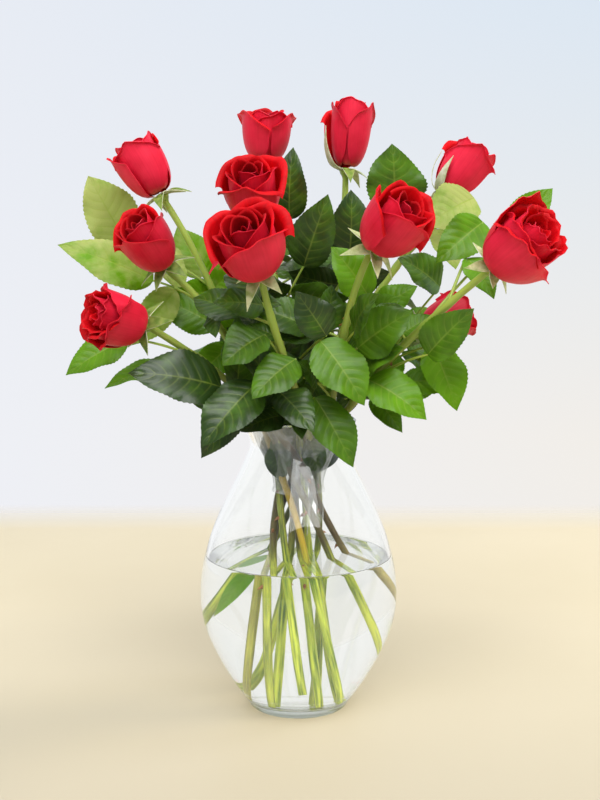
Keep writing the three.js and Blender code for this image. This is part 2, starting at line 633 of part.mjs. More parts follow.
// Five narrow sepals under each flower, one star-shaped plate. They bend away from the petals, or on the
// left of a flower with 'hug' stand up along them: row = half its angle, distance, rise and tilt.
function sepals(rose) {
  const plate = new Plate();
  const middle = plate.point(along(rose.seat, rose.look, -2), rose.look, 1.4);
  const first = draw();
  const rim = [];
  for (let k = 0; k < 5; k += 1) {
    const angle = 2 * Math.PI * (k + first + 0.25 * draw()) / 5;
    const out = (turn, r, rise) => inFlower(rose, r, angle + turn, rise - GAP);
    const outward = along(rose.east.clone().multiplyScalar(Math.cos(angle)), rose.north, Math.sin(angle));
    const at = (turn, [, r, rise, tilt], thickness) => plate.point(out(turn, r, rise),
      along(rose.look.clone().multiplyScalar(Math.cos(tilt)), outward, -Math.sin(tilt)), thickness);
    const length = 15 + 8 * draw();
    const dip = 2 + 12 * draw();
    const shape = rose.hug && outward.x < -0.3
      ? [[0.3, 0.62 * rose.r + 0.8, 2.5, 0.8], [0.2, 0.9 * rose.r + 1.5, 0.3 * rose.h, 1.4],
        [0, 0.97 * rose.r + 1.5, 0.58 * rose.h, 1.4]]
      : [[0.3, 4.4 + 0.5 * length, -1.5 - 0.3 * dip, 0], [0, 4.4 + length, -dip, 0]];
    const tip = shape.pop();
    const rows = [[0.4, 4.4, -2, 0], ...shape].map((row, j) => (
      [-row[0], row[0]].map((turn) => at(turn, row, j ? SEPAL : 1.4))));
    for (let j = 0; j + 1 < rows.length; j += 1) {
      const [[r0, l0], [r1, l1]] = [rows[j], rows[j + 1]];
      plate.faces.push([r0, r1, l1], [r0, l1, l0]);
    }
    const [right, left] = rows[rows.length - 1];
    plate.faces.push([right, at(0, tip, SEPAL), left]);
    rim.push(...rows[0]);
  }
  rim.forEach((p, j) => plate.faces.push([middle, p, rim[(j + 1) % rim.length]]));
  return plate.solid();
}

// The whole.

const matter = {
  glass: { color: COLOUR.glass, roughness: 0.05, metalness: 0, transparent: true, opacity: 0.35 },
  water: { color: COLOUR.water, roughness: 0.05, metalness: 0, transparent: true, opacity: 0.3 },
  film: { color: COLOUR.film, roughness: 0.2, metalness: 0, transparent: true, opacity: 0.3 },
  petal: { color: COLOUR.petal, roughness: 0.7, metalness: 0 },
  green: { color: COLOUR.green, roughness: 0.5, metalness: 0 },
};
const made = (kind) => new THREE.MeshStandardMaterial(matter[kind]);

const roses = new THREE.Group();
roses.name = 'roses_in_vase';
roses.add(node('vase', vase(), made('glass')));
roses.add(node('water', water(Object.values(ROSES).map(stemHole)), made('water')));
roses.add(node('stem_wrap', wrap(), made('film')));
Object.values(ROSES).forEach((rose, k) => {
  const number = String(k + 1).padStart(2, '0');
  roses.add(node(`bloom_${number}`, bloom(rose), made('petal')));
  const green = joined([stemRod(rose), sepals(rose), ...greens[rose.name]]);
  roses.add(node(`leafy_stem_${number}`, green, made('green')));
});

export default roses;
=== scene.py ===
# %% [markdown]
# # A dozen red roses in a glass vase
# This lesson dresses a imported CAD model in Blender. The model says where everything is: a blown glass
# vase with water, a cuff of clear film, and twelve leafy rose stems that cross at the vase's neck. The
# script replaces each plain solid by a finer surface of the same form and place, worked out with numpy.
# Lengths are in millimetres until a mesh is made, because that is how a florist or a glass maker
# measures, and metres afterwards, which is Blender's unit.

from functools import partial

import bpy
import numpy as np
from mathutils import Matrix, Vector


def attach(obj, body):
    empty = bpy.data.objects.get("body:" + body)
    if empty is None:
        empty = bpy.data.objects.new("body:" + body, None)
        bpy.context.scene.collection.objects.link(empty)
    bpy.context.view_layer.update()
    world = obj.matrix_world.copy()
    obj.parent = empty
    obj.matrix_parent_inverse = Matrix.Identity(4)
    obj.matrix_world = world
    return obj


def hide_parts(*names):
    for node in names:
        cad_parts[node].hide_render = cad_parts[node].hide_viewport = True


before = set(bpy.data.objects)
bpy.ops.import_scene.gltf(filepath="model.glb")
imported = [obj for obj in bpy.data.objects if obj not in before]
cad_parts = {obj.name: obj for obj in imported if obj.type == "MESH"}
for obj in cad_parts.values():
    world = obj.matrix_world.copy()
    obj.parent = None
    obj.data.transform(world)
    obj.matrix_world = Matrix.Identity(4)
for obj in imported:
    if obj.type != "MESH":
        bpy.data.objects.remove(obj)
scene = bpy.context.scene
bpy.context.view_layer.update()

# %% [markdown]
# ## Small helpers
# Points are numpy arrays whose last axis is x, y, z, so one call moves thousands of them. The same
# random rule as in the part's source places the leaves, so that each leaf here covers its solid there.

# %% Vectors, mixing and a repeatable random rule
MM = 0.001


def unit(v):
    """v divided by its own length."""
    v = np.asarray(v, float)
    return v / np.maximum(np.linalg.norm(v, axis=-1, keepdims=True), 1e-9)


def stacked(*parts):
    """Arrays spread over each other's shapes, as the coordinates of one array of points."""
    return np.stack(np.broadcast_arrays(*parts), axis=-1)


def polar(azimuth, r, z):
    """Azimuth in degrees, distance from the vase's axis and height, as x, y, z."""
    a = np.radians(azimuth)
    return stacked(r * np.cos(a), r * np.sin(a), z).astype(float)


def mix(a, b, t):
    """a at t = 0, b at t = 1, and evenly between."""
    return a + (b - a) * t


def bow(a, b, c, t):
    """The quadratic curve from a to c that is drawn towards b."""
    return mix(mix(a, b, t), mix(b, c, t), t)


def cubic(a, b, c, d, t):
    """The cubic curve from a to d drawn towards b and c: weights s^3, 3s^2t, 3st^2 and t^3, s being 1 - t."""
    s = 1 - t
    return s**3 * a + 3 * s * s * t * b + 3 * s * t * t * c + t**3 * d


def along(lengths, way):
    """Steps of the given lengths in a direction."""
    return lengths[..., None] * way


def smooth(x, low, high):
    """0 below low, 1 above high, and an S-shaped rise 3t^2 - 2t^3 between."""
    t = np.clip((x - low) / (high - low), 0, 1)
    return t * t * (3 - 2 * t)


SEED = 24
state = [SEED]


def draw():
    """The next number of the part's own random rule, from 0 to 1."""
    state[0] = (state[0] * 1664525 + 1013904223) % 2**32
    return state[0] / 2**32


print("helpers ready, the random rule starts from", SEED)

# %% [markdown]
# ## From arrays to a mesh
# A piece is gathered from many patches: tubes, thin sheets and turned bodies. Each patch adds its
# points, faces, a material slot for each face, a pair of surface coordinates for patterns that follow
# the surface, and one tone, a number that tells one leaf or petal from the next in the materials.

# %% Gathering patches into one piece
class Piece:
    """Patches that become one mesh object."""

    def __init__(self, name, materials):
        self.name, self.materials, self.count = name, materials, 0
        self.points, self.faces, self.slots, self.uvs, self.tones = [], [], [], [], []

    def patch(self, points, faces, slots, uvs, tone=0.5):
        """Adds points, blocks of faces with a material slot each, sheet coordinates and a tone."""
        points = points.reshape(-1, 3)
        self.points.append(points)
        self.uvs.append(np.broadcast_to(uvs, points.shape[:1] + (2,)).reshape(-1, 2))
        self.tones.append(np.broadcast_to(np.asarray(tone, float), len(points)))
        for block, slot in zip(faces, slots):
            self.faces.append(block + self.count)
            self.slots.append(np.full(len(block), slot))
        self.count += len(points)

    def make(self, sharp=50):
        """The finished object: millimetres become metres, and faces meet smoothly up to sharp degrees."""
        mesh = bpy.data.meshes.new(self.name)
        corners = np.concatenate([block.ravel() for block in self.faces])
        sides = np.concatenate([np.full(len(block), block.shape[1]) for block in self.faces])
        points = np.concatenate(self.points)
        mesh.vertices.add(len(points))
        mesh.loops.add(len(corners))
        mesh.polygons.add(len(sides))
        mesh.vertices.foreach_set("co", (points * MM).astype(np.float32).ravel())
        mesh.loops.foreach_set("vertex_index", corners.astype(np.int32))
        mesh.polygons.foreach_set("loop_start", np.concatenate([[0], np.cumsum(sides)[:-1]]).astype(np.int32))
        mesh.polygons.foreach_set("material_index", np.concatenate(self.slots).astype(np.int32))
        mesh.uv_layers.new(name="sheet").data.foreach_set(
            "uv", np.concatenate(self.uvs)[corners].astype(np.float32).ravel())
        mesh.attributes.new("tone", "FLOAT", "POINT").data.foreach_set(
            "value", np.concatenate(self.tones).astype(np.float32))
        mesh.update(calc_edges=True)
        mesh.shade_smooth()
        mesh.set_sharp_from_angle(angle=np.radians(sharp))
        for material in self.materials:
            mesh.materials.append(material)
        made = bpy.data.objects.new(self.name, mesh)
        scene.collection.objects.link(made)
        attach(made, "root")
        return made


# %% [markdown]
# ## Grids, thin sheets, tubes and turned bodies
# Petals, leaves and sepals are thin sheets: a grid of points over two parameters, given a thickness
# along its own normals and closed by a strip round its border. Stems are rings carried along a path.
# Glass and water are profiles turned about the vase's axis. These three shapes make the whole bunch.

# %% The faces of a grid
def grid_faces(rows, columns, ring=False):
    """Four-sided faces of a grid of points, listed row by row; a ring joins the last column to the first."""
    i, j = np.meshgrid(np.arange(rows - 1), np.arange(columns - (0 if ring else 1)), indexing="ij")
    k = (j + 1) % columns
    corners = (i * columns + j, i * columns + k, (i + 1) * columns + k, (i + 1) * columns + j)
    return np.stack(corners, -1).reshape(-1, 4)


def rod_faces(rows, sides):
    """Faces of rings stacked in rows, and fans from the end rings to the two points listed after them."""
    j = np.arange(sides)
    k = (j + 1) % sides
    last = rows * sides
    low = np.stack([np.full(sides, last), k, j], -1)
    high = np.stack([np.full(sides, last + 1), j + last - sides, k + last - sides], -1)
    return [grid_faces(rows, sides, True), low, high]


def border(rows, columns):
    """The grid's outermost points in order, anticlockwise as its front is seen."""
    at = np.arange(rows * columns).reshape(rows, columns)
    return np.concatenate([at[0, :-1], at[:-1, -1], at[-1, :0:-1], at[:0:-1, 0]])


def add_sheets(piece, points, thickness, uvs, slots, tones=0.5):
    """Thin sheets, one for each grid in points (count, rows, columns, 3). The front is where columns cross
    rows anticlockwise; each point moves half the thickness both ways along the normal, the cross product of
    its differences along a row and along a column."""
    count, rows, columns, _ = points.shape
    normal = unit(np.cross(np.gradient(points, axis=2), np.gradient(points, axis=1)))
    half = np.broadcast_to(np.asarray(thickness, float), points.shape[:3])[..., None] / 2
    both = np.stack([points + normal * half, points - normal * half], axis=1)
    size = rows * columns
    start = (np.arange(count) * 2 * size)[:, None, None]
    front = grid_faces(rows, columns)
    p = border(rows, columns)
    q = np.roll(p, -1)
    strip = np.stack([q, p, p + size, q + size], -1)
    blocks = [(front[None] + start).reshape(-1, 4), (front[None, :, ::-1] + size + start).reshape(-1, 4),
              (strip[None] + start).reshape(-1, 4)]
    wide = np.broadcast_to(uvs, (count, 2, rows, columns, 2))
    tone = np.broadcast_to(np.asarray(tones, float).reshape(-1, 1), (count, 2 * size)).ravel()
    piece.patch(both, blocks, (slots[0], slots[1], slots[-1]), wide.reshape(-1, 2), tone)


def add_tube(piece, path, radii, sides, slot, about, end_slot=None, tone=0.5, uneven=1.0):
    """A rod along a path: ring k has radius radii[k], lies square to the path and starts on the side that
    the direction `about` shows. Fans close both ends. The sheet coordinates are 1 to 0 and back round it,
    so that no seam shows, and millimetres along it."""
    way = unit(np.gradient(path, axis=0))
    side = unit(about - way * (way @ about)[:, None])
    other = np.cross(way, side)
    turn = np.linspace(0, 2 * np.pi, sides, endpoint=False)
    reach = np.asarray(radii, float)[:, None] * uneven * np.ones(sides)
    rings = (path[:, None] + along(reach * np.cos(turn), side[:, None])
             + along(reach * np.sin(turn), other[:, None]))
    run = np.concatenate([[0], np.cumsum(np.linalg.norm(np.diff(path, axis=0), axis=1))])
    uv = stacked(np.abs(turn / np.pi - 1), run[:, None]).reshape(-1, 2)
    piece.patch(np.concatenate([rings.reshape(-1, 3), path[[0, -1]]]), rod_faces(len(path), sides),
                (slot, slot if end_slot is None else end_slot, slot),
                np.concatenate([uv, [[0.5, run[0]], [0.5, run[-1]]]]), tone)


def add_turned(piece, profile, sides=160):
    """A body turned about the vertical axis from (height, radius) rows; it starts and ends on the axis."""
    turn = np.linspace(0, 2 * np.pi, sides, endpoint=False)
    z, r = profile[1:-1, :1], profile[1:-1, 1:]
    rings = stacked(r * np.cos(turn), r * np.sin(turn), z).reshape(-1, 3)
    poles = [[0, 0, profile[0, 0]], [0, 0, profile[-1, 0]]]
    uv = stacked(turn / (2 * np.pi), z / 100).reshape(-1, 2)
    piece.patch(np.concatenate([rings, poles]), rod_faces(len(z), sides), (0, 0, 0),
                np.concatenate([uv, [[0.5, 0], [0.5, 1]]]))


print("a petal grid of 18 x 17 points has", len(grid_faces(18, 17)), "faces a side")

# %% [markdown]
# ## Colours and nodes
# Colours are written as they look on a screen, in sRGB hex, and one function turns them to the linear
# light that Blender mixes in. One other function adds a node with its settings and its links, and each
# material calls it by the short name `add`, bound to its own tree. Pattern sizes are real ones in
# millimetres; object coordinates are metres, so a pattern of `size` millimetres has a scale of
# 1000 / size.

# %% Helpers for every material
def linear(code):
    """sRGB hex to linear light and alpha: ((c + 0.055) / 1.055)^2.4 above 0.04045, else c / 12.92."""
    c = np.array([int(code[k:k + 2], 16) / 255 for k in (1, 3, 5)])
    return (*np.where(c > 0.04045, ((c + 0.055) / 1.055) ** 2.4, c / 12.92), 1.0)


def add_node(tree, kind, inputs=(), **settings):
    """Adds a shader node with its settings and its inputs, listed in order or by name or number. An input is
    a plain value, a hex colour, a socket to link, or a node, which stands for its first output in use."""
    node = tree.nodes.new("ShaderNode" + kind)
    for name, value in settings.items():
        setattr(node, name, value)
    for name, value in inputs.items() if isinstance(inputs, dict) else enumerate(inputs):
        if isinstance(value, bpy.types.Node):
            value = next(socket for socket in value.outputs if socket.enabled)
        if isinstance(value, bpy.types.NodeSocket):
            tree.links.new(value, node.inputs[name])
        else:
            node.inputs[name].default_value = linear(value) if isinstance(value, str) else value
    return node


def new_material(name):
    """An empty node material, and add_node bound to its tree."""
    material = bpy.data.materials.new(name)
    material.use_nodes = True
    material.node_tree.nodes.clear()
    return material, partial(add_node, material.node_tree)


def per_mm(size):
    """The texture scale that repeats every `size` millimetres."""
    return 1000.0 / size


print("petal red in linear light", np.round(linear("#c8101f"), 3))

# %% [markdown]
# ## Glass and water
# The vase is soda-lime glass, blown: nearly colourless, IOR about 1.5, with faint long ripples from
# the breath and the mould that only show as soft bends in its highlights. Its thick foot is long to
# look through, so it goes grey-green there. Lamps reach the stems inside through a clear stand-in,
# because a lamp's direct light can't find its way through bent glass. Still tap water has IOR 1.33 and
# no ripple worth drawing.

# %% Blown soda-lime glass
def clear_solid(name, thick_colour, ior, ripple_mm, depth_mm):
    """A clear body; its colour turns to thick_colour from 12 mm down to 3 mm above the table."""
    material, add = new_material(name)
    place = add("TexCoord").outputs["Object"]
    height = add("SeparateXYZ", [place]).outputs["Z"]
    deep = add("MapRange", {"Value": height, "From Min": 12 * MM, "From Max": 3 * MM})
    colour = add("Mix", {0: deep, 6: "#ffffff", 7: thick_colour}, data_type="RGBA")
    waves = add("TexNoise", {"Vector": place, "Scale": per_mm(ripple_mm), "Detail": 1.0})
    bump = add("Bump", {"Height": waves, "Strength": 1.0, "Distance": depth_mm * MM})
    body = add("BsdfPrincipled", {
        "Base Color": colour, "Roughness": 0.0, "IOR": ior, "Transmission Weight": 1.0, "Normal": bump})
    lamp_ray = add("LightPath").outputs["Is Shadow Ray"]
    lamp = add("BsdfTransparent", {"Color": "#f8f7f3"})
    add("OutputMaterial", {"Surface": add("MixShader", [lamp_ray, body, lamp])})
    return material


glass = clear_solid("soda_lime_glass_blown", "#a3a89e", 1.5, 38, 0.25)
water_clear = clear_solid("tap_water_still", "#ffffff", 1.333, 60, 0.1)
print("made", glass.name, "and", water_clear.name)

# %% [markdown]
# ## Clear film
# The florist's sleeve is polypropylene film, cast thin and crumpled: clear where it is flat, and white along
# each crease, partly its own whitening where it is bent hard and partly a painted highlight. Creases run up
# and down it, so the pattern is a noise drawn out along the film. Where the noise is high the film scatters
# light as painted white, and where it is seen edge-on it is painted whiter still, a painted sheen; elsewhere
# it lets light through.

# %% Crumpled polypropylene film
def film_material():
    """The painted white share is the noise between 0.52 and 0.72, crease white with painted highlight, plus
    0.45 of how far it is seen edge-on, a painted sheen.
    """
    material, add = new_material("polypropylene_film_crumpled")
    place = add("TexCoord").outputs["Object"]
    tall = add("Mapping", {"Vector": place, "Scale": (1.0, 1.0, 0.35)})
    crease = add("TexNoise", {
        "Vector": tall, "Scale": per_mm(15), "Detail": 5.0, "Roughness": 0.6, "Distortion": 1.5})
    # Painted highlight: high noise paints the creases white, partly the film's own crease whitening.
    white = add("MapRange", {
        "Value": crease, "From Min": 0.52, "From Max": 0.72, "To Min": 0.02, "To Max": 0.36})
    # Painted sheen: the film is made whiter where it is seen edge-on.
    painted_edge_sheen = add("LayerWeight", {"Blend": 0.25}).outputs["Facing"]
    seen = add("Math", [painted_edge_sheen, 0.45, white], operation="MULTIPLY_ADD", use_clamp=True)
    bump = add("Bump", {"Height": crease, "Strength": 0.8, "Distance": 1.2 * MM})
    body = add("BsdfPrincipled", {
        "Base Color": "#eef1f0", "Roughness": 0.12, "IOR": 1.49, "Alpha": seen, "Normal": bump})
    add("OutputMaterial", {"Surface": body})
    return material


film = film_material()
print("made", film.name)

# %% [markdown]
# ## Petals
# A red rose petal is living velvet: tiny cone-shaped cells make its inner face deep and matt, and its
# outer face is smoother and pinker. It is thin, so light from behind glows through it. Fine veins run
# along it, its foot is pale, and its rolled lip catches the light. Little light finds its way into a
# flower's heart, so petals with a tone under 0.34 grow dark below the lip. Two materials, inside and
# outside, share one recipe with other colours.

# %% Velvety inner face and satin outer face
def petal_material(name, deep, fresh, foot, rough, velvet):
    """Veins and a soft mottle mix deep with fresh; the heart turns to maroon, a painted shade, the lowest
    fifth to foot.
    """
    material, add = new_material(name)
    sheet = add("UVMap", uv_map="sheet")
    along = add("SeparateXYZ", [sheet]).outputs["Y"]
    tone = add("Attribute", attribute_name="tone").outputs["Fac"]
    drawn = add("Mapping", {"Vector": sheet, "Scale": (34.0, 1.6, 1.0)})
    veins = add("TexNoise", {"Vector": drawn, "Scale": 1.0, "Detail": 3.0})
    place = add("TexCoord").outputs["Object"]
    cloud = add("TexNoise", {"Vector": place, "Scale": per_mm(14), "Detail": 2.0})
    mottle = add("Math", [veins, 0.55, -0.38], operation="MULTIPLY_ADD")
    shade = add("Math", [cloud, 0.8, mottle], operation="MULTIPLY_ADD")
    lifted = add("Math", [tone, 0.5, shade], operation="MULTIPLY_ADD", use_clamp=True)
    # Painted shade: petals with a tone under 0.34, in the heart, are painted maroon below the lip.
    heart_shade_share = add("MapRange", {"Value": tone, "From Min": 0.34, "From Max": 0.0, "To Max": 0.8})
    below_lip = add("MapRange", {"Value": along, "From Min": 0.93, "From Max": 0.75})
    deeper = add("Math", [heart_shade_share, below_lip], operation="MULTIPLY")
    at_foot = add("MapRange", {"Value": along, "From Min": 0.22, "From Max": 0.02, "To Max": 0.5})
    colour = deep
    for share, other in ((lifted, fresh), (deeper, "#6c000c"), (at_foot, foot)):
        colour = add("Mix", {0: share, 6: colour, 7: other}, data_type="RGBA")
    bump = add("Bump", {"Height": veins, "Strength": 0.5, "Distance": 0.25 * MM})
    body = add("BsdfPrincipled", {
        "Base Color": colour, "Roughness": rough, "Specular IOR Level": 0.28, "Sheen Weight": velvet,
        "Sheen Roughness": 0.4, "Sheen Tint": "#ff5a70", "Normal": bump})
    glow = add("BsdfTranslucent", {"Color": colour, "Normal": bump})
    add("OutputMaterial", {"Surface": add("MixShader", [0.28, body, glow])})
    return material


petal_inside = petal_material("rose_petal_velvet_inside", "#a0000a", "#f40618", "#b00a18", 0.6, 0.03)
petal_outside = petal_material("rose_petal_satin_outside", "#d00a24", "#ff3454", "#e8a890", 0.4, 0.06)
print("made", petal_inside.name, "and", petal_outside.name)

# %% [markdown]
# ## Leaves
# A rose leaflet has a waxed dark green top that mirrors the sky, and a matt, paler underside. A yellow midrib
# carries seven or so pairs of side veins forward to the teeth, and the blade swells a little between them.
# Light from behind turns it yellow-green and drowns the wax's shine. A leaf's tone holds its own shade of
# green together with painted light: a light tone paints it fresh and then pale yellow-green, a painted
# backlight, and gives it less shine. The sheet coordinates give u across the blade and s along it, so the
# veins are lines of constant s minus a share of the distance from the midrib.

# %% Waxed top and matt underside
def leaf_material(name, dark, fresh, pale, vein, rough, glow_colour):
    """The veins are the crests of cos(52 s - 11 |u|^1.25), which fade towards the edge, and the midrib is a
    band that thins towards the tip. Tone, the leaf's own green with painted light, and a soft cloud turn dark
    to fresh and, past 0.75, to pale, a painted backlight."""
    material, add = new_material(name)
    split = add("SeparateXYZ", {0: add("UVMap", uv_map="sheet")})
    tone = add("Attribute", attribute_name="tone").outputs["Fac"]
    across = add("Math", [split.outputs["X"], 2.0, -1.0], operation="MULTIPLY_ADD")
    away = add("Math", [across], operation="ABSOLUTE")
    arched = add("Math", [away, 1.25], operation="POWER")
    forward = add("Math", [arched, -11.0], operation="MULTIPLY")
    phase = add("Math", [split.outputs["Y"], 52.0, forward], operation="MULTIPLY_ADD")
    wave = add("Math", [phase], operation="COSINE")
    crest = add("MapRange", {"Value": wave, "From Min": 0.74, "From Max": 1.0, "To Max": 0.3})
    fading = add("MapRange", {"Value": away, "From Min": 0.95, "From Max": 0.2})
    side_vein = add("Math", [crest, fading], operation="MULTIPLY")
    midrib = add("MapRange", {"Value": away, "From Min": 0.055, "From Max": 0.01, "To Max": 0.75})
    thinning = add("Math", [split.outputs["Y"], -0.75, 1.0], operation="MULTIPLY_ADD")
    rib = add("Math", [midrib, thinning], operation="MULTIPLY")
    both_veins = add("Math", [side_vein, rib], operation="MAXIMUM")
    plain = add("Math", [tone, 0.6, 0.4], operation="MULTIPLY_ADD")
    lines = add("Math", [both_veins, plain], operation="MULTIPLY")
    place = add("TexCoord").outputs["Object"]
    cloud = add("TexNoise", {"Vector": place, "Scale": per_mm(18), "Detail": 4.0, "Roughness": 0.6})
    grain = add("TexVoronoi", {"Vector": place, "Scale": per_mm(1.6)}, feature="DISTANCE_TO_EDGE")
    lifted = add("Math", [cloud, 0.7, -0.35], operation="MULTIPLY_ADD")
    toned = add("Math", [lifted, tone], operation="ADD", use_clamp=True)
    # Painted light: tone and cloud paint the leaf fresh green, and past 0.75 pale as if lit from behind.
    fresh_and_painted_light = add("MapRange", {"Value": toned, "From Min": 0.02, "From Max": 0.72})
    painted_backlight = add("MapRange", {"Value": toned, "From Min": 0.75, "From Max": 1.0})
    colour = dark
    for share, other in ((fresh_and_painted_light, fresh), (painted_backlight, pale), (lines, vein)):
        colour = add("Mix", {0: share, 6: colour, 7: other}, data_type="RGBA")
    swell = add("Math", [wave, -0.3], operation="MULTIPLY")
    sunk = add("Math", [lines, -1.0, swell], operation="MULTIPLY_ADD")
    height = add("Math", [grain, 0.5, sunk], operation="MULTIPLY_ADD")
    bump = add("Bump", {"Height": height, "Strength": 0.6, "Distance": 0.35 * MM})
    gloss = add("Math", [tone, -0.36, 0.48], operation="MULTIPLY_ADD")
    body = add("BsdfPrincipled", {
        "Base Color": colour, "Roughness": rough, "Specular IOR Level": gloss, "Normal": bump})
    glow = add("BsdfTranslucent", {"Color": glow_colour, "Normal": bump})
    thin = add("Math", [tone, 0.42, 0.04], operation="MULTIPLY_ADD")
    add("OutputMaterial", {"Surface": add("MixShader", [thin, body, glow])})
    return material


leaf_top, leaf_under = [leaf_material(*row) for row in (
    ("rose_leaf_waxed_top", "#263e10", "#6fa614", "#c4c87a", "#a8ba4c", 0.36, "#a6cc20"),
    ("rose_leaf_matt_underside", "#36562a", "#7c9f42", "#c0cc7c", "#bcc480", 0.6, "#b4d23c"))]
print("made", leaf_top.name, "and", leaf_under.name)

# %% [markdown]
# ## Stems, sepals and cut ends
# The stem's skin is green and slightly glossy. Above the vase it is light green, under water it is
# streaked with yellow, or worn to cream, and between the two an old stem has turned brown or yellow.
# So its colour follows its height and its own tone. A sepal is leaf matter with a pale felt edge and inside,
# and on three flowers its back is paler. The cut end shows wet white pith in a green ring.

# %% Stem skin
def stem_material(name):
    """Streaks follow the tube's own sheet coordinates, moved on by 40 times its tone. From 105 to 135 mm up
    the streaked green turns to bark, as far as its tone says, and from 210 to 310 mm to fresh green."""
    material, add = new_material(name)
    place = add("TexCoord").outputs["Object"]
    height = add("SeparateXYZ", [place]).outputs["Z"]
    tone = add("Attribute", attribute_name="tone").outputs["Fac"]
    drawn = add("Mapping", {"Vector": add("UVMap", uv_map="sheet"), "Scale": (4.5, 0.035, 1.0)})
    own = add("VectorMath", [tone, (40.0, 40.0, 40.0), drawn], operation="MULTIPLY_ADD")
    streak = add("TexNoise", {"Vector": own, "Scale": 1.0, "Detail": 3.0})
    patchy = add("TexNoise", {"Vector": place, "Scale": per_mm(26), "Detail": 2.0})
    fresh = add("Mix", {0: patchy, 6: "#7c9a34", 7: "#a9bb50"}, data_type="RGBA")
    streaky = add("MapRange", {"Value": streak, "From Min": 0.34, "From Max": 0.64})
    yellow = add("MapRange", {"Value": tone, "From Min": 0.58, "From Max": 0.75})
    worn = add("MapRange", {"Value": tone, "From Min": 0.42, "From Max": 0.54, "To Max": 0.75})
    not_yellow = add("Math", [1.0, yellow], operation="SUBTRACT")
    creamy = add("Math", [worn, not_yellow], operation="MULTIPLY")
    bark = add("Mix", {0: yellow, 6: "#43280f", 7: "#b8930e"}, data_type="RGBA")
    dry = add("MapRange", {"Value": height, "From Min": 105 * MM, "From Max": 135 * MM})
    old = add("MapRange", {"Value": tone, "From Min": 0.1, "From Max": 0.4, "To Max": 0.85})
    browner = add("Math", [dry, old], operation="MULTIPLY")
    up = add("MapRange", {"Value": height, "From Min": 210 * MM, "From Max": 310 * MM})
    colour = "#4c7212"
    for share, other in ((streaky, "#d2e04c"), (creamy, "#a8925a"), (browner, bark), (up, fresh)):
        colour = add("Mix", {0: share, 6: colour, 7: other}, data_type="RGBA")
    bump = add("Bump", {"Height": streak, "Strength": 0.5, "Distance": 0.3 * MM})
    body = add("BsdfPrincipled", {
        "Base Color": colour, "Roughness": 0.42, "Coat Weight": 0.1, "Normal": bump,
        "Subsurface Weight": 0.12, "Subsurface Scale": 2 * MM})
    add("OutputMaterial", {"Surface": body})
    return material


stem_skin = stem_material("rose_stem_skin")
print("made", stem_skin.name)


# %% Sepals, pith and thorns
def soft_material(name, dark, light, size, rough, glow_share):
    """Soft matter mottled between two colours at a size in millimetres, which lets some light through."""
    material, add = new_material(name)
    place = add("TexCoord").outputs["Object"]
    cloud = add("TexNoise", {"Vector": place, "Scale": per_mm(size), "Detail": 3.0})
    spread = add("MapRange", {"Value": cloud, "From Min": 0.35, "From Max": 0.65})
    colour = add("Mix", {0: spread, 6: dark, 7: light}, data_type="RGBA")
    bump = add("Bump", {"Height": cloud, "Strength": 0.4, "Distance": 0.2 * MM})
    body = add("BsdfPrincipled", {"Base Color": colour, "Roughness": rough, "Normal": bump})
    glow = add("BsdfTranslucent", {"Color": colour})
    add("OutputMaterial", {"Surface": add("MixShader", [glow_share, body, glow])})
    return material


greens_matter = [stem_skin, leaf_top, leaf_under] + [soft_material(*row) for row in (
    ("sepal_green_outside", "#688a34", "#a8bc62", 6, 0.55, 0.4),
    ("sepal_felt_inside", "#ccd4a0", "#f2f2dc", 5, 0.8, 0.3),
    ("cut_stem_pith", "#b8bd7c", "#e9e7c2", 1.5, 0.6, 0.1),
    ("thorn_horn", "#8a5a34", "#b07a44", 3, 0.45, 0.1),
    ("sepal_green_pale_back", "#a4b86a", "#e4e6b8", 7, 0.6, 0.4))]
STEM, TOP, UNDER, SEPAL_OUT, SEPAL_IN, PITH, THORN, SEPAL_PALE = range(8)
print("greens use", [m.name for m in greens_matter])

# %% [markdown]
# ## The vase
# The glass is a turned body: the outside rises from a 75 mm foot to a belly 155 mm wide, draws in to a
# neck and flares to the rim. The inside keeps 3 mm away from it, square to its slope, above a bottom 8 mm
# thick. A smooth curve runs through the measured heights and radii, so that highlights slide along it
# without a kink, and the underside is a little hollow, as a blown foot is.

# %% Profile of the glass
VASE_OUTSIDE = np.array([
    [0, 37.5], [2.5, 40], [23, 54], [46, 66.5], [68, 75], [90, 77.6], [112, 75.6],
    [134, 70], [156, 61.3], [180, 49.6], [198, 41.3], [211, 38], [227, 45]], float)
MOUTH_HEIGHT, MOUTH_RADIUS = VASE_OUTSIDE[-1]
WALL, BASE, WATER_TOP = 3.0, 8.0, 120.0
RIM_ROUND, CORNER_ROUND = 1.45, 9.0


def eased(points, each):
    """A smooth curve through the points. Each span is the cubic whose slope at a point is half the step
    between its neighbours, and is cut into `each` equal steps."""
    slope = np.gradient(points, axis=0)
    t = np.linspace(0, 1, each, endpoint=False)[None, :, None]
    a, b, m, n = points[:-1, None], points[1:, None], slope[:-1, None], slope[1:, None]
    span = ((2 * t**3 - 3 * t**2 + 1) * a + (t**3 - 2 * t**2 + t) * m
            + (3 * t**2 - 2 * t**3) * b + (t**3 - t**2) * n)
    return np.concatenate([span.reshape(-1, points.shape[1]), points[-1:]])


def arc(centre, radius, start, end, count):
    """Points of a round corner, as (height, radius) rows; angles in degrees from outwards, turning up."""
    a = np.radians(np.linspace(start, end, count))
    return np.stack([centre[0] + radius * np.sin(a), centre[1] + radius * np.cos(a)], -1)


outer = eased(VASE_OUTSIDE[1:], 6)
slope = np.gradient(outer[:, 1], outer[:, 0])
inner = outer - WALL * np.stack([-slope, np.ones_like(slope)], -1) / np.hypot(1, slope)[:, None]
inner = inner[(inner[:, 0] > BASE + 6) & (inner[:, 0] < MOUTH_HEIGHT - 1)]


def inside_radius(z):
    """Radius of the glass's inner face at a height."""
    return np.interp(z, inner[:, 0], inner[:, 1])


print("inner radius at neck", round(float(inner[:, 1][inner[:, 0] > 180].min()), 1), "mm")

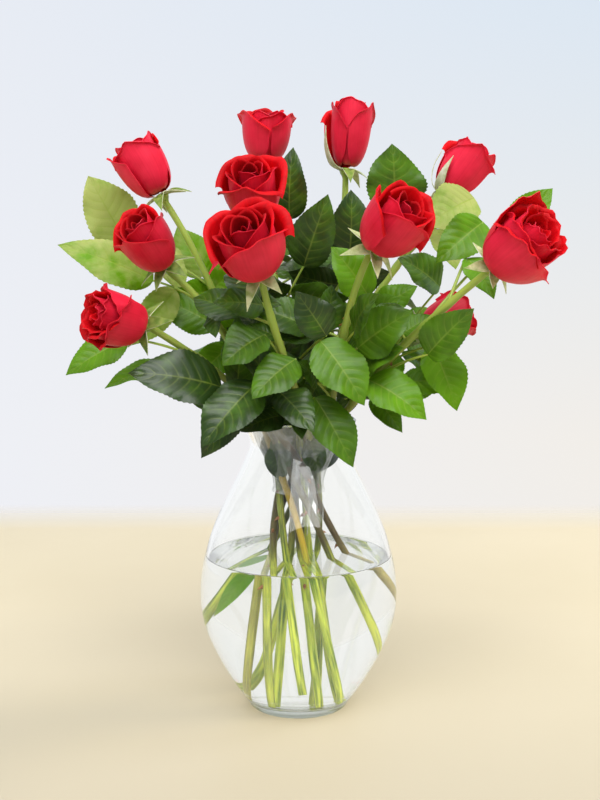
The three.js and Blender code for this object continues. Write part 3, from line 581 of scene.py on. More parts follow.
# %% The glass itself
rim = arc((MOUTH_HEIGHT - 0.1, MOUTH_RADIUS - RIM_ROUND), RIM_ROUND, 10, 170, 9)
corner = arc((BASE + 7, inside_radius(BASE + 7) - CORNER_ROUND), CORNER_ROUND, -8, -86, 9) + [[2, 0]]
underside = np.array([[1.4, 0], [1.4, 8], [1.3, 18], [1.0, 27], [0.45, 32.5],
                      [0.08, 35.5], [0, 37], [0.35, 38.6], [1.2, 39.5]])
floor_inside = np.array([[BASE, 20.0], [BASE, 8.0], [BASE, 0.0]])
vase = Piece("vase_glass", [glass])
add_turned(vase, np.concatenate([underside, outer, rim, inner[::-1], corner, floor_inside]))
vase_glass = vase.make(sharp=60)
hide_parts("vase")
print("vase_glass", len(vase_glass.data.polygons), "faces")

# %% [markdown]
# ## The water
# Water wets glass, so at the wall its surface climbs in a small curve, the meniscus. Its side lies a
# hair inside the glass itself: light then passes from glass straight to water, with no film of air
# between them to throw false mirror lines. It closes round the stems, so it needs no holes here.

# %% The body of water
WET = 0.35
side_z = np.concatenate([inner[:, 0][inner[:, 0] < WATER_TOP - 3], [WATER_TOP - 1, WATER_TOP + 0.8]])
side = np.stack([side_z, inside_radius(side_z) + WET], -1)
climb = np.array([[1.2, 0.0], [0.66, -0.6], [0.3, -1.6], [0.08, -3.2], [0.0, -6.0]])
meniscus = climb + [[WATER_TOP, inside_radius(WATER_TOP) + WET]]
level = [[WATER_TOP, 40.0], [WATER_TOP, 0.0]]
under = [[BASE - WET, 0.0], [BASE - WET, 20.0]]
water = Piece("water_body", [water_clear])
add_turned(water, np.concatenate([under, corner[::-1] - [[0.3, 0]], side, meniscus, level]))
water_body = water.make(sharp=60)
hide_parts("water")
print("water stands", WATER_TOP - BASE, "mm deep")

# %% [markdown]
# ## The film cuff
# The flowers were sold in a sleeve. Its lower end is still gathered round the stems in the neck of the
# vase, open above like a cup, and a short tail of it hangs down on the right. The radius of the gathered
# film follows five heights, and sharp folds run up it: a sum of three waves round the cup, deeper towards
# the open top. The tail is a strip bent round the same axis, and its waves grow on the way down.

# %% Gathered film
FILM_THICK = 0.25
cup = eased(np.array([[171, 20.5], [177, 19.5], [188, 21.9], [211, 32.4], [224, 37.2]], float), 9)
turn = np.linspace(0, 2 * np.pi, 181)
up = np.linspace(0, 1, len(cup))[:, None]
folds = (1.3 * (np.abs(np.sin(6.5 * turn + 2.2 * up)) - 0.6) + 0.7 * np.sin(11 * turn - 4 * up)
         + 0.4 * np.sin(23 * turn + 5 * up))
depth = 0.12 + 0.75 * smooth(up, 0.12, 0.8)
reach = cup[:, 1:] + FILM_THICK + folds * depth - 0.9 * smooth(up, 0.3, 1.0)
reach[:, -1] = reach[:, 0]
lift = cup[:, :1] + 1.6 * up * np.sin(3 * turn + 1) + 0.9 * up * np.sin(8 * turn)
cuff = Piece("film_cuff", [film])
cup_grid = stacked(reach * np.cos(turn), reach * np.sin(turn), lift)[None]
add_sheets(cuff, cup_grid, FILM_THICK, 0.5, (0, 0, 0))
aside = np.radians(np.linspace(-74, -30, 33))[None, :]
down = np.linspace(0, 1, 25)[:, None]
far = (20.5 + 3.5 * down + (0.4 + 1.6 * down) * np.sin(9 * aside + 3 * down)
       + 0.8 * down * np.sin(31 * aside + 5 * down))
fall = 173 - (28 + 6 * np.sin(4 * aside + 1)) * down
tail_grid = stacked(far * np.cos(aside), far * np.sin(aside), fall)[None]
add_sheets(cuff, tail_grid[:, ::-1], FILM_THICK, 0.5, (0, 0, 0))
film_cuff = cuff.make()
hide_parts("stem_wrap")
print("film cup", round(float(reach.min()), 1), "to", round(float(reach.max()), 1), "mm in radius")

# %% [markdown]
# ## The twelve roses
# Each rose has its own stem: `lean` is the azimuth in which it leans where the stems cross, `foot` the
# azimuth, distance and height of its cut end, `top` where it meets the flower and `rise` its direction
# there, `axis` the way the flower looks, `r` and `h` its radius and height, and `open` how far its outer
# petals roll back. `proud` is the number of a petal that stands up above the others, `shy` that of one
# whose lip hardly rolls. A `frill` waves the lips, and `hug` keeps the left sepals close to the petals.
# Nine stems cross in a ring and three inner ones in the middle, as in a hand-tied bunch.

# %% Where every rose stands
WAIST, RING, CORE_RING, LEAN, CORE_LEAN = 177.0, 15.5, 4.6, 0.5, 0.12
KNEE_HEIGHT, BEND_LENGTH, HIP_LENGTH = 128, 26, 9
ROSES = {
    "a": dict(lean=139, foot=(324, 37, 8.3), top=(-102, 12, 394), rise=(-0.55, 0, 0.84),
              axis=(-0.5, 0, 0.87), r=23, h=45, open=0.75),
    "b": dict(lean=179, foot=(352, 56, 46), top=(-95, -30, 341), rise=(-0.8, -0.1, 0.6),
              axis=(-0.41, -0.57, 0.71), r=22.5, h=45, open=0.8),
    "c": dict(lean=219, foot=(14, 62, 80), top=(-106, -56, 301), rise=(-0.75, -0.4, 0.5),
              axis=(-0.74, -0.62, 0.26), r=23.5, h=43, open=1, frill=True),
    "d": dict(inner=True, lean=130, foot=(310, 21, 8.3), top=(-28, 58, 421), rise=(-0.1, 0.15, 1),
              axis=(0.05, -0.12, 1), r=22.5, h=42, open=0.9),
    "e": dict(inner=True, lean=250, foot=(30, 25, 8.3), top=(-33, -10, 375), rise=(-0.1, -0.3, 1),
              axis=(-0.05, -0.62, 0.78), r=25, h=46, open=1),
    "f": dict(lean=259, foot=(79, 36, 8.3), top=(-25, -83, 334), rise=(-0.2, -0.25, 1),
              axis=(-0.24, -0.64, 0.73), r=29, h=48, open=1),
    "g": dict(inner=True, lean=10, foot=(215, 17, 8.3), top=(38, 52, 416), rise=(0, 0.1, 1),
              axis=(0.08, 0, 1), r=20.5, h=54, open=0.7, hug=True),
    "h": dict(lean=299, foot=(119, 44, 20), top=(50, -58, 352), rise=(0.4, -0.25, 0.88),
              axis=(0.5, -0.58, 0.64), r=26, h=49, open=0.9),
    "i": dict(lean=59, foot=(239, 36, 8.3), top=(112, 46, 396), rise=(0.5, 0, 0.85),
              axis=(0.57, -0.05, 0.82), r=21, h=47, open=0.8, hug=True),
    "j": dict(lean=-21, foot=(159, 61, 54), top=(131, -80, 341), rise=(0.7, -0.3, 0.62),
              axis=(0.55, -0.64, 0.53), r=29, h=50, open=1, proud=13, shy=12, frill=True),
    "k": dict(lean=19, foot=(199, 36, 8.3), top=(90, 12, 291), rise=(0.8, 0, 0.6),
              axis=(0.86, 0.2, 0.42), r=20.5, h=41, open=0.8),
    "l": dict(lean=99, foot=(277, 24, 22), top=(-42, 84, 318), rise=(-0.3, 0.5, 0.8),
              axis=(-0.35, 0.78, 0.5), r=23, h=43, open=0.8),
}


def stem_curve(rose, t):
    """The stem above the waist, a cubic curve through the neck to the flower."""
    return cubic(*rose["bow"], np.asarray(t, float)[..., None])


for name, rose in ROSES.items():
    inside = "inner" in rose
    waist = polar(rose["lean"] + 90, CORE_RING if inside else RING, WAIST)
    lean = polar(rose["lean"], CORE_LEAN if inside else LEAN, 1.0)
    foot, top, rise = polar(*rose["foot"]), np.array(rose["top"], float), unit(rose["rise"])
    reach = np.linalg.norm(top - waist)
    bend = waist - BEND_LENGTH * lean
    knee = mix(foot, bend, (KNEE_HEIGHT - foot[2]) / (bend[2] - foot[2]))
    look = unit(rose["axis"])
    east = unit(np.cross([0.2, 0.3, 1.0], look))
    rose.update(name=name, foot_point=foot, knee=knee, bend=bend, waist=waist, top_point=top, look=look,
                east=east, north=np.cross(look, east), seat=top + HIP_LENGTH * look, turn=40 * ord(name),
                bow=(waist, waist + 0.33 * reach * lean, top - 0.3 * reach * rise, top))
print({name: np.round(rose["seat"]).tolist() for name, rose in ROSES.items()})

# %% [markdown]
# ## The blooms
# A rose sets its petals one by one, each 137.5 degrees on from the last and a little further out. The
# inner ones wrap round each other in a tight cone; the outer ones stand in a goblet, and their lips roll
# outwards, most at the sides, which leaves the middle of the edge as a point. All petals of a flower are
# one array over three parameters: the petal's number, u across it and v up it. The heart's petals get a
# low tone, since little light reaches between them, but those of a wide open, frilled flower don't.

# %% Petals by formula
GAP, PETALS, SOLID_PETALS, TIGHT, GOLDEN, PETAL_THICK = 0.3, 15, 6, 0.52, 137.5, 0.45


def in_flower(rose, r, angle, z):
    """A point at distance r, angle and height z of the flower's own axis, above its seat."""
    r, angle, z = np.broadcast_arrays(r, angle, z)
    return (rose["seat"] + along(z + GAP, rose["look"]) + along(r * np.cos(angle), rose["east"])
            + along(r * np.sin(angle), rose["north"]))


def petal_grid(rose, luck, rows=19, columns=19):
    """Every petal of a flower. g counts the petals from 0 to 1, i the inner and f the outer ones. Radius
    against height is a cubic with the petal's foot, two belly points and its edge, cut off along the crown,
    a line that falls as |u|^2.3 from a point near the middle. Past v = 0.8 the lip turns on a small arc,
    less on a proud or a shy petal. The petal spans an angle that widens up to v = 0.6, and one side of it
    lies a little further out and curls. A frill adds waves sin(15 u) and sin(12 u) to the lip."""
    R, H, wide = rose["r"], rose["h"], rose["open"] ** 2
    k = np.arange(PETALS)[:, None, None]
    g = k / (PETALS - 1)
    v = np.sin(np.linspace(0.03, 1, rows) * np.pi / 2)[None, :, None] ** 0.9
    u = np.linspace(-1, 1, columns)[None, None, :]
    f = np.clip((g - TIGHT) / (1 - TIGHT), 0, 1)
    i = np.clip(g / TIGHT, 0, 1)
    chance = luck.random((7, PETALS, 1, 1)) * 2 - 1
    radius = R * (0.06 + 0.47 * i ** 1.05 + 0.38 * f) * (1 + 0.025 * chance[0])
    height = H * (0.80 + 0.20 * np.sin(np.pi / 2 * i) - (0.04 + 0.10 * wide) * f) * (1 + 0.035 * chance[1])
    roll = (np.radians(36 + 36 * i + 50 * f * wide) * (0.75 + 0.4 * np.abs(u) ** 1.5)
            * (1 + 0.2 * chance[2] + 0.2 * chance[3] * u))
    lip = 1.3 + 0.9 * i + 1.2 * f * wide
    proud, shy = k == rose.get("proud", -1), k == rose.get("shy", -1)
    height, roll = height * (1 + 0.14 * proud), roll * (1 - 0.6 * proud - 0.7 * shy)
    aside = u - 0.2 * chance[6]
    crown = 1 - (0.15 + 0.06 * f) * np.abs(aside) ** 2.3 + 0.035 * f * np.exp(-(aside / 0.14) ** 2)
    t = np.clip(v / 0.8, 0, 1) * crown
    top = height - lip
    r = cubic(0.8 + 2.2 * i + f, (0.9 - 0.1 * i - 0.04 * f) * radius, (1.1 - 0.09 * i) * radius,
              (0.62 + 0.26 * i + (0.12 + 0.035 * chance[2]) * f) * radius, t)
    z = cubic(2.2 - 1.8 * f, 0.09 * top * (1 - f), 0.42 * top, top, t)
    past = roll * np.clip((v - 0.8) / 0.2, 0, 1)
    edge = smooth(v, 0.7, 1.0)
    r = r + lip * (1 - np.cos(past)) + edge * f * 1.2 * np.sin(5 * u + 3 * chance[4])
    r = r + (0.55 + 0.5 * i) * u * t + 1.5 * f * smooth(u, 0.7, 1.0) * smooth(v, 0.2, 0.6)
    z = z + lip * np.sin(past) + edge * (0.5 + 0.7 * f) * np.sin(7 * u + 3 * chance[5])
    if "frill" in rose:
        z = z + 1.1 * edge * i * np.sin(15 * u + 9 * chance[4])
        r = r + 0.9 * edge * i * np.sin(12 * u + 9 * chance[5])
    half = np.radians(104 - 26 * i - 12 * f) * (0.3 + 0.7 * np.sin(np.pi / 2 * np.clip(v / 0.6, 0, 1)))
    angle = np.radians(rose["turn"] + GOLDEN * (k - PETALS + SOLID_PETALS) + 5 * chance[3]) + half * u
    uv = stacked(0.5 + 0.5 * u, v + 0 * g)[:, None]
    # A tone under 0.34 paints shade into the heart's petals; a frilled flower's heart is left unshaded.
    own_tone = np.where(f > 0, 0.675 + 0.325 * chance[1], 0.62 if "frill" in rose else 0.34 * i ** 1.5)
    return in_flower(rose, r, angle, z), uv, own_tone.ravel()


for number, (name, rose) in enumerate(ROSES.items(), 1):
    bloom = Piece(f"petals_{number:02d}", [petal_outside, petal_inside])
    luck = np.random.default_rng(100 + number)
    grid, uv, tone = petal_grid(rose, luck)
    add_sheets(bloom, grid, PETAL_THICK, uv, (0, 1, 0), tone)
    bloom.make(sharp=75)
    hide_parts(f"bloom_{number:02d}")

# %% [markdown]
# ## Where the leaves grow
# The bunch's outline comes from 25 leaves listed one by one, each given by its rose, the height at which its
# stalk leaves the stem, the foot of its end leaflet, its tip, its width, how many pairs of side leaflets it
# has and how light it is, from 0, dark green, to 1, pale with the light behind it. A rule adds up to twenty
# more. Every leaf is tried, nudged until its sample points keep clear of all that already stands, and then
# claims its own room. The rule is the same as in the part's source, number for number, so that each leaf lies
# over its own solid. Small leaves then fill the gaps by the same rule.

# %% Leaves listed one by one
# The last column is the leaf's tone: its own green together with painted light and shade.
LEAVES = [
    ("c", 244, (-56, -55, 269), (-121, -72, 288), 44, 1, 0.0),
    ("f", 236, (12, -50, 250), (40, -60, 200), 36, 0, 0.3),
    ("k", 238, (51, -45, 263), (93, -60, 235), 38, 1, 0.5),
    ("b", 318, (-112, 2, 335), (-182, -12, 362), 38, 1, 0.92),
    ("a", 330, (-140, 48, 366), (-168, 42, 418), 48, 1, 1),
    ("g", 345, (75, 22, 388), (72, 14, 440), 52, 0, 0.15),
    ("g", 305, (39, 8, 352), (40, 0, 404), 40, 1, 0.1),
    ("j", 318, (136, -32, 378), (100, -48, 348), 36, 1, 0.4),
    ("j", 304, (156, -22, 366), (188, -26, 403), 32, 0, 0.7),
    ("f", 246, (-30, -50, 262), (-67, -62, 220), 42, 1, 0.0),
    ("h", 262, (16, -60, 292), (47, -74, 247), 42, 0, 0.35),
    ("k", 262, (101, -22, 287), (119, -32, 238), 38, 1, 0.55),
    ("d", 340, (-7, 26, 383), (-4, 20, 438), 32, 1, 0.1),
    ("e", 300, (4, 6, 346), (22, 0, 399), 38, 1, 0.1),
    ("c", 278, (-132, -6, 294), (-176, -22, 270), 32, 0, 0.5),
    ("b", 268, (-62, -8, 300), (-108, -12, 322), 36, 1, 0.4),
    ("h", 272, (40, -45, 286), (76, -62, 314), 42, 1, 0.36),
    ("j", 262, (94, -48, 282), (124, -62, 316), 34, 0, 0.36),
    ("f", 272, (-24, -66, 292), (-53, -78, 268), 36, 0, 0.12),
    ("f", 262, (-2, -66, 280), (-32, -84, 254), 34, 0, 0.3),
    ("h", 296, (52, -30, 320), (24, -32, 354), 38, 0, 0.5),
    ("e", 262, (20, -56, 296), (-2, -64, 328), 32, 0, 0.1),
    ("i", 345, (137, 26, 399), (98, 16, 376), 42, 1, 0.95),
    ("k", 275, (107, -14, 330), (74, -26, 352), 34, 0, 0.25),
    ("a", 312, (-76, 26, 338), (-98, 30, 378), 34, 1, 0.75),
]
WAVE, STEM_FOOT, STEM_TOP, SIDE_AT = 0.08, 3.1, 2.5, 0.5
CLEAR, STALK_CLEAR = 5.4, 3.4
print(len(LEAVES), "leaves by hand")

# %% A leaflet's surface
def make_leaf(foot, tip, width, face, droop=0.5, fold=0.2, turn=0.0):
    """A leaflet's frame: its midrib leaves `foot` along `way` and bends through the angle droop to the tip,
    with its face upwards; length is that of the arc over the straight line between them."""
    chord = tip - foot
    straight = unit(chord)
    out = unit(face - straight * (face @ straight))
    way = straight * np.cos(droop / 2) + out * np.sin(droop / 2)
    up = out * np.cos(droop / 2) - straight * np.sin(droop / 2)
    length = np.linalg.norm(chord) * (droop / 2) / np.sin(droop / 2)
    return dict(foot=foot, way=way, face=up, side=np.cross(up, way), length=length, width=width, droop=droop,
                fold=fold, turn=turn)


def leaf_point(leaf, s, u, half=None):
    """The point at s along the midrib and u across: the midrib is an arc, the half width s^0.55 (1-s)^0.7
    scaled to its widest, both halves fold up, and the edge waves as u^2 sin(9s)."""
    s, u = np.broadcast_arrays(np.asarray(s, float), np.asarray(u, float))
    bend = leaf["droop"]
    turned = bend * s
    if half is None:
        half = leaf["width"] / 2 * s**0.55 * (1 - s) ** 0.7 / 0.424
    face = along(np.cos(turned), leaf["face"]) + along(np.sin(turned), leaf["way"])
    rise = half * (np.abs(u) * np.sin(leaf["fold"]) + WAVE * u * u * np.sin(9 * s + leaf["turn"]))
    return (leaf["foot"] + along(leaf["length"] * np.sin(turned) / bend, leaf["way"])
            - along(leaf["length"] * (1 - np.cos(turned)) / bend, leaf["face"])
            + along(half * u * np.cos(leaf["fold"]), leaf["side"]) + along(rise, face))


sample_s = np.concatenate([[0.0], np.repeat(np.arange(1, 9) / 9, 7), [1.0]])
sample_u = np.concatenate([[0.0], np.tile(np.arange(-3, 4) / 3, 8), [0.0]])
print("a leaflet is tested at", len(sample_s), "points")

# %% Room already taken
MOST, FLOWER, GLASS = 60000, -100, -200
room = dict(points=np.zeros((MOST, 3)), distance=np.zeros(MOST), owner=np.zeros(MOST, int), count=0)
STEM_OWNER = {name: -1 - k for k, name in enumerate(ROSES)}


def claim(points, distance, owner):
    """Points that leaves keep `distance` away from."""
    n = room["count"]
    m = n + len(points)
    room["points"][n:m], room["distance"][n:m], room["owner"][n:m] = points, distance, owner
    room["count"] = m


def taken(name):
    """The filled part of one of the three lists."""
    return room[name][:room["count"]]


def far_from_all(points, others, gaps):
    """True if every one of the points is further from every other point than that one's gap."""
    apart = ((points[:, None] - others[None]) ** 2).sum(-1)
    return bool((apart > gaps[None] ** 2).all())


def is_clear(points):
    """True if the points keep clear of all that stands within reach of their middle one."""
    middle = points[len(points) // 2]
    near = np.linalg.norm(taken("points") - middle, axis=-1) < 55 + taken("distance")
    return far_from_all(points, taken("points")[near], taken("distance")[near])


for name, rose in ROSES.items():
    claim(stem_curve(rose, np.arange(81) / 80), STEM_FOOT + 2.9, STEM_OWNER[name])
    for k, share in enumerate([0.75, 1, 1.1, 1.16, 1.2, 1.24, 1.26, 1.2]):
        ball = rose["seat"] + rose["look"] * rose["h"] * (0.08 + 0.12 * k)
        claim([ball], rose["r"] * share + 1.5, FLOWER)
for r, z, distance in [(31, 220, 8), (38, 206, 6.5), (39, 213, 6.5), (42, 220, 6.5), (44, 227, 6.5)]:
    claim(polar(8.2 * np.arange(44), r, z), distance, GLASS)
print("stems, flowers and vase claim", room["count"], "points")

# %% Trying and keeping a leaf
placed = []


def stem_at(name, height):
    """The stem's point at a height, found by halving the span 30 times."""
    low, high = 0.0, 1.0
    for _ in range(30):
        half = (low + high) / 2
        if stem_curve(ROSES[name], half)[2] < height:
            low = half
        else:
            high = half
    return stem_curve(ROSES[name], low)


def try_leaf(name, height, foot, tip, width, pairs, face, number):
    """A leaf on the named rose's stem, or None where it would come too near to something."""
    start = stem_at(name, height)
    leaf = make_leaf(foot, tip, width, face, 0.35 + 0.5 * draw(), 0.12 + 0.2 * draw(), 6 * draw())
    middle = mix(start, foot, 0.5) + [0, 0, 0.08 * np.linalg.norm(start - foot)]
    stalk = bow(start, middle, foot, (np.arange(1, 13) / 12)[:, None])
    away = stalk[np.linalg.norm(stalk - start, axis=-1) > 7]
    samples = leaf_point(leaf, sample_s, sample_u)
    others = taken("owner") != STEM_OWNER[name]
    if not is_clear(samples):
        return None
    if not far_from_all(away, taken("points")[others], taken("distance")[others] - 0.6):
        return None
    return dict(name=name, number=number, start=start, middle=middle, foot=foot, leaves=[leaf],
                stalk=away, samples=samples, width=width, pairs=pairs)


def keep(found, light):
    """Claims a leaf's room, then grows its side leaflets, each tilted until it is clear."""
    found["light"] = light
    claim(found["samples"], CLEAR, found["number"])
    claim(found["stalk"], STALK_CLEAR, found["number"])
    placed.append(found)
    end = found["leaves"][0]
    stem = STEM_OWNER[found["name"]]
    for k in range(2 * found["pairs"]):
        hand = 1 if k % 2 else -1
        t = SIDE_AT + 1.3 / np.linalg.norm(found["start"] - found["foot"])
        root = bow(found["start"], found["middle"], found["foot"], t)
        for tilt in [0, 0.35, -0.35, 0.7, -0.7, 1.05]:
            way = unit(end["side"] * hand + 0.3 * end["way"] + tilt * end["face"])
            foot = root + way
            length = end["length"] * (0.72 + 0.12 * draw())
            leaf = make_leaf(foot, foot + length * way, 0.78 * found["width"], end["face"], turn=6 * draw())
            samples = leaf_point(leaf, sample_s, sample_u)
            outer_samples = samples[np.linalg.norm(samples - root, axis=-1) > 9]
            owner = taken("owner")
            gaps = np.where(owner == found["number"], 2.5, np.where(owner == stem, 4.5, taken("distance")))
            if far_from_all(outer_samples, taken("points"), gaps):
                leaf["hand"] = hand
                found["leaves"].append(leaf)
                claim(samples, CLEAR, found["number"])
                break


nudges = [(0, 0, 0)] + [tuple(reach * x for x in way) for reach in (6, 12, 18, 24, 30) for way in (
    (0, 1, 0), (0, -1, 0), (0, 0, 1), (0, 0, -1), (1, 0, 0), (-1, 0, 0),
    (0, 0.7, 0.7), (0, -0.7, 0.7), (0, 0.7, -0.7), (0, -0.7, -0.7))]
for number, (name, height, foot, tip, width, pairs, light) in enumerate(LEAVES, 1):
    face = np.array([0.15 * np.sign(tip[0]), -0.85, 0.5])
    for nudge in np.array(nudges):
        found = try_leaf(name, height, foot + 0.6 * nudge, tip + nudge, width, pairs, face, number)
        if found:
            keep(found, light)
            break
print("by hand:", len(placed), "leaves,", sum(len(f["leaves"]) for f in placed), "leaflets")

# %% Leaves by rule
TRIES = 90


def in_zone(zone, foot, tip, size):
    """True where a leaf of a zone may lie. On the right it mustn't hide the small rose that looks out
    between the leaves there."""
    x, y, z = mix(foot, tip, 0.5)
    if zone == "outside":
        return np.hypot(*tip[:2]) < 150 and 232 < tip[2] < 420
    if zone == "neck":
        return np.hypot(*foot[:2]) < 30 and np.hypot(*tip[:2]) < 22 and tip[2] > 178
    if zone == "right":
        hides_k = 62 < x < 125 and y < 25 and 262 < z < 335
        return 40 < x < 130 and -80 < y < 60 and 235 < tip[2] < 350 and not hides_k
    return abs(x) < 70 and abs(y) < 60 and z < 360 and tip[2] > (212 if size < 1 else 232)


def grow_by_rule(names, zone, size, first_number):
    """Tries up to TRIES leaves on each named rose and keeps the first that is clear of everything. The zones
    are "outside" and "middle" of the bunch, "low" in its middle, "right" and, pointing down, its "neck"."""
    low_end, span = dict(low=(236, 56), right=(240, 80), neck=(204, 36)).get(zone, (236, None))
    outside, neck = zone == "outside", zone == "neck"
    for k, name in enumerate(names):
        for attempt in range(TRIES):
            height = low_end + (span or ROSES[name]["top"][2] - 256) * draw()
            start = stem_at(name, height)
            own_side = np.arctan2(start[1], start[0])
            around = own_side + (draw() - 0.5) * 4.2 if outside else 2 * np.pi * draw()
            way = unit([np.cos(around), np.sin(around), -2.4 if neck else -0.35 + 1.2 * draw()])
            foot = start + way * (14 + 16 * draw()) * (0.3 if neck else 1)
            tip = foot + way * (44 + 16 * draw()) * size
            face = np.array([0, -0.8, 0.6])
            if outside:
                face = unit([tip[0], tip[1], 0]) * 0.8 + [0, -0.25, 0.8]
            found = in_zone(zone, foot, tip, size) and try_leaf(
                name, height, foot, tip, (32 + 8 * draw()) * size, 0 if neck else 1, face, first_number + k)
            if found:
                # Painted light: a leaf's tone grows lighter towards the right, where the key lamp shines, and
                # far to the left, as painted backlight.
                keep(found, 0.1 + 0.34 * smooth(tip[0], 10, 110) + 0.4 * smooth(-tip[0], 60, 130))
                break


grow_by_rule("gehdifkbjcf", "middle", 1.0, 100)
grow_by_rule("lcaibdlgk", "outside", 1.0, 111)
print("in all:", len(placed), "leaves,", sum(len(f["leaves"]) for f in placed), "leaflets")

# %% Small leaves between them
own_state = state[0]
room["distance"][:room["count"]] *= 0.55
CLEAR = 2.6
grow_by_rule("gehdfkbjcegdhfeikgd", "middle", 0.72, 200)
grow_by_rule("hjkihjkihjkhjk", "right", 0.85, 230)
grow_by_rule("hfekdajcbglifhkdea", "low", 0.66, 260)
room["distance"][:room["count"]] *= 0.4
grow_by_rule("adegfhbcijkladeg", "neck", 0.62, 290)
state[0] = own_state
print("with the small ones:", len(placed), "leaves,", sum(len(f["leaves"]) for f in placed), "leaflets")

# %% [markdown]
# ## Stems, stalks and thorns
# A stem is a tube along its path: straight in the water, bent a little towards the crossing, then a
# long curve up to the flower, where it swells into the hip. It thickens where a leaf stalk leaves it.
# Thorns are short hooked cones, longer along the stem than across. One small leaf was left on below the
# water. Everything green on one stem is one piece, as it is one plant. A stem's tone says how old its skin
# is above the water: green up to 0.1, brown from 0.4 and yellow from 0.75.

# %% Stem, hip and thorns of a rose
SKIN = dict(a=0.9, b=0.44, c=0.56, d=0.4, e=0.15, f=0.3, g=0.36, h=0.33, i=0.45, j=0.28, k=0.5, l=0.25)
HIP = np.array([[1.2, 2.7], [2.6, 3.3], [4.2, 4.5], [6.2, 5.3], [8.0, 5.5], [9.0, 4.6]])
THORN_OUT, THORN_RADIUS = np.array([0.0, 0.9, 2.0, 3.0, 3.9])[:, None], [1.15, 0.85, 0.5, 0.25, 0.05]


def stem_line(rose):
    """The stem's middle line: straight to the knee, a quadratic bend to the waist, then the cubic."""
    foot, knee = rose["foot_point"], rose["knee"]
    way = unit(knee - foot)
    straight = foot + way * np.linspace(1.0, np.linalg.norm(knee - foot), 9)[:, None]
    bent = bow(knee, rose["bend"], rose["waist"], np.linspace(0, 1, 9)[1:, None])
    return np.concatenate([straight, bent, stem_curve(rose, np.linspace(0, 1, 33)[1:])])


def add_stem(piece, rose, joints, luck):
    """The stem, a little slimmer in the water, its hip, given in HIP by distance above the top and radius,
    and six thorns at places drawn by luck."""
    line = stem_line(rose)
    slim = 1 - 0.16 * luck.random() * smooth(line[:, 2], 190, 150)
    radii = np.linspace(STEM_FOOT, STEM_TOP, len(line)) * slim
    radii = radii + 0.55 * np.exp(-((line[:, 2:] - joints) / 3.5) ** 2).sum(1)
    radii = radii * (1 + 0.03 * np.sin(np.arange(len(line)) * 1.7 + rose["turn"]))
    hip = rose["top_point"] + HIP[:, :1] * rose["look"]
    tone = SKIN[rose["name"]]
    turn = np.linspace(0, 2 * np.pi, 14, endpoint=False)
    angular = 1 + 0.05 * np.cos(5 * turn + luck.random() * 6)
    add_tube(piece, np.concatenate([line, hip]), np.concatenate([radii, HIP[:, 1]]), 14, STEM,
             np.array([0.3, 1.0, 0.1]), end_slot=PITH, tone=tone, uneven=angular)
    way = unit(np.gradient(line, axis=0))
    eighths = np.linspace(0, 2 * np.pi, 8, endpoint=False)
    oval = np.hypot(1.7 * np.cos(eighths), np.sin(eighths))
    for k in luck.choice(np.arange(6, len(line) - 8), 6, replace=False):
        sideways = unit(np.cross(way[k], luck.standard_normal(3)))
        thorn = line[k] + sideways * (radii[k] - 0.5 + THORN_OUT) - way[k] * (0.14 * THORN_OUT**2)
        add_tube(piece, thorn, THORN_RADIUS, 8, THORN, way[k], tone=tone, uneven=oval)


print("a stem's line has", len(stem_line(ROSES["f"])), "points")

# %% [markdown]
# ## Leaflets with teeth, and sepals
# The blade's grid has three rows to a tooth: notch, slope and tip, so its outline is really cut. It swells
# between the side veins by a third of a millimetre, one half is wider than the other here and there, and the
# edges crinkle, so no two leaflets match. Sepals are narrow and pointed, cupped, and bend away from the
# petals; their inside is pale felt, and on three flowers their back is paler.

# %% Leaf and sepal surfaces
TEETH, LEAF_THICK, SEPAL_THICK, PALE_BACKED = 19, 0.4, 0.5, "fhj"


def blade_grid(leaf, columns=13):
    """A leaflet as a grid. u runs 1 to -1 so that the front is the upper face. Each tooth's tip widens the
    edge by almost 3%, and a slow wave sin(6 s), other for each half, by up to 7%. The surface lifts as
    -cos(52 s - 11 |u|^1.25) between the side veins, and the edge crinkles as |u|^2.5 sin(15 s)."""
    rows = 3 * TEETH + 1
    s = np.linspace(0.0, 1.0, rows)[:, None]
    u = np.linspace(1, -1, columns)[None, :]
    step = np.arange(rows)[:, None] % 3
    tooth = np.select([step == 0, step == 1], [-0.6, 0.1], 0.9) * smooth(s, 0.04, 0.16)
    half = np.maximum(leaf["width"] / 2 * s**0.55 * (1 - s) ** (0.7 + 0.32 * s) / 0.424, 0.12)
    own, hand, out = leaf["turn"], np.sign(u), np.abs(u)
    wide = u * (1 + 0.03 * tooth * out**5) * (1 + 0.07 * out * np.sin(6 * s + 5 * own + 1.6 * hand))
    quilt = -np.cos(52 * s - 11 * out**1.25) * (1 - out**3) * out**0.6
    curl = half * (0.08 * out**2.5 * np.sin(15 * s + 3 * own + 2.2 * hand) - 0.10 * out**4)
    lift = 0.18 * quilt * np.minimum(1, half / 8) + curl
    return leaf_point(leaf, s, wide, half) + along(lift, leaf["face"]), stacked(0.5 + 0.5 * u, s)


def add_leaf(piece, found, luck):
    """The stalk, thinner towards the end leaflet, and all the leaflets of one leaf."""
    start, middle, foot, leaves = found["start"], found["middle"], found["foot"], found["leaves"]
    stalk = bow(start, middle, foot, np.linspace(0, 1, 15)[:, None])
    add_tube(piece, stalk, np.linspace(1.25, 0.75, 15), 8, STEM, leaves[0]["face"], tone=0.1)
    made = [blade_grid(leaf) for leaf in leaves]
    tones = np.clip(found["light"] + 0.22 * (luck.random(len(leaves)) - 0.5), 0.0, 1.0)
    add_sheets(piece, np.stack([points for points, uv in made]), LEAF_THICK,
               np.stack([uv for points, uv in made])[:, None], (TOP, UNDER, TOP), tones)


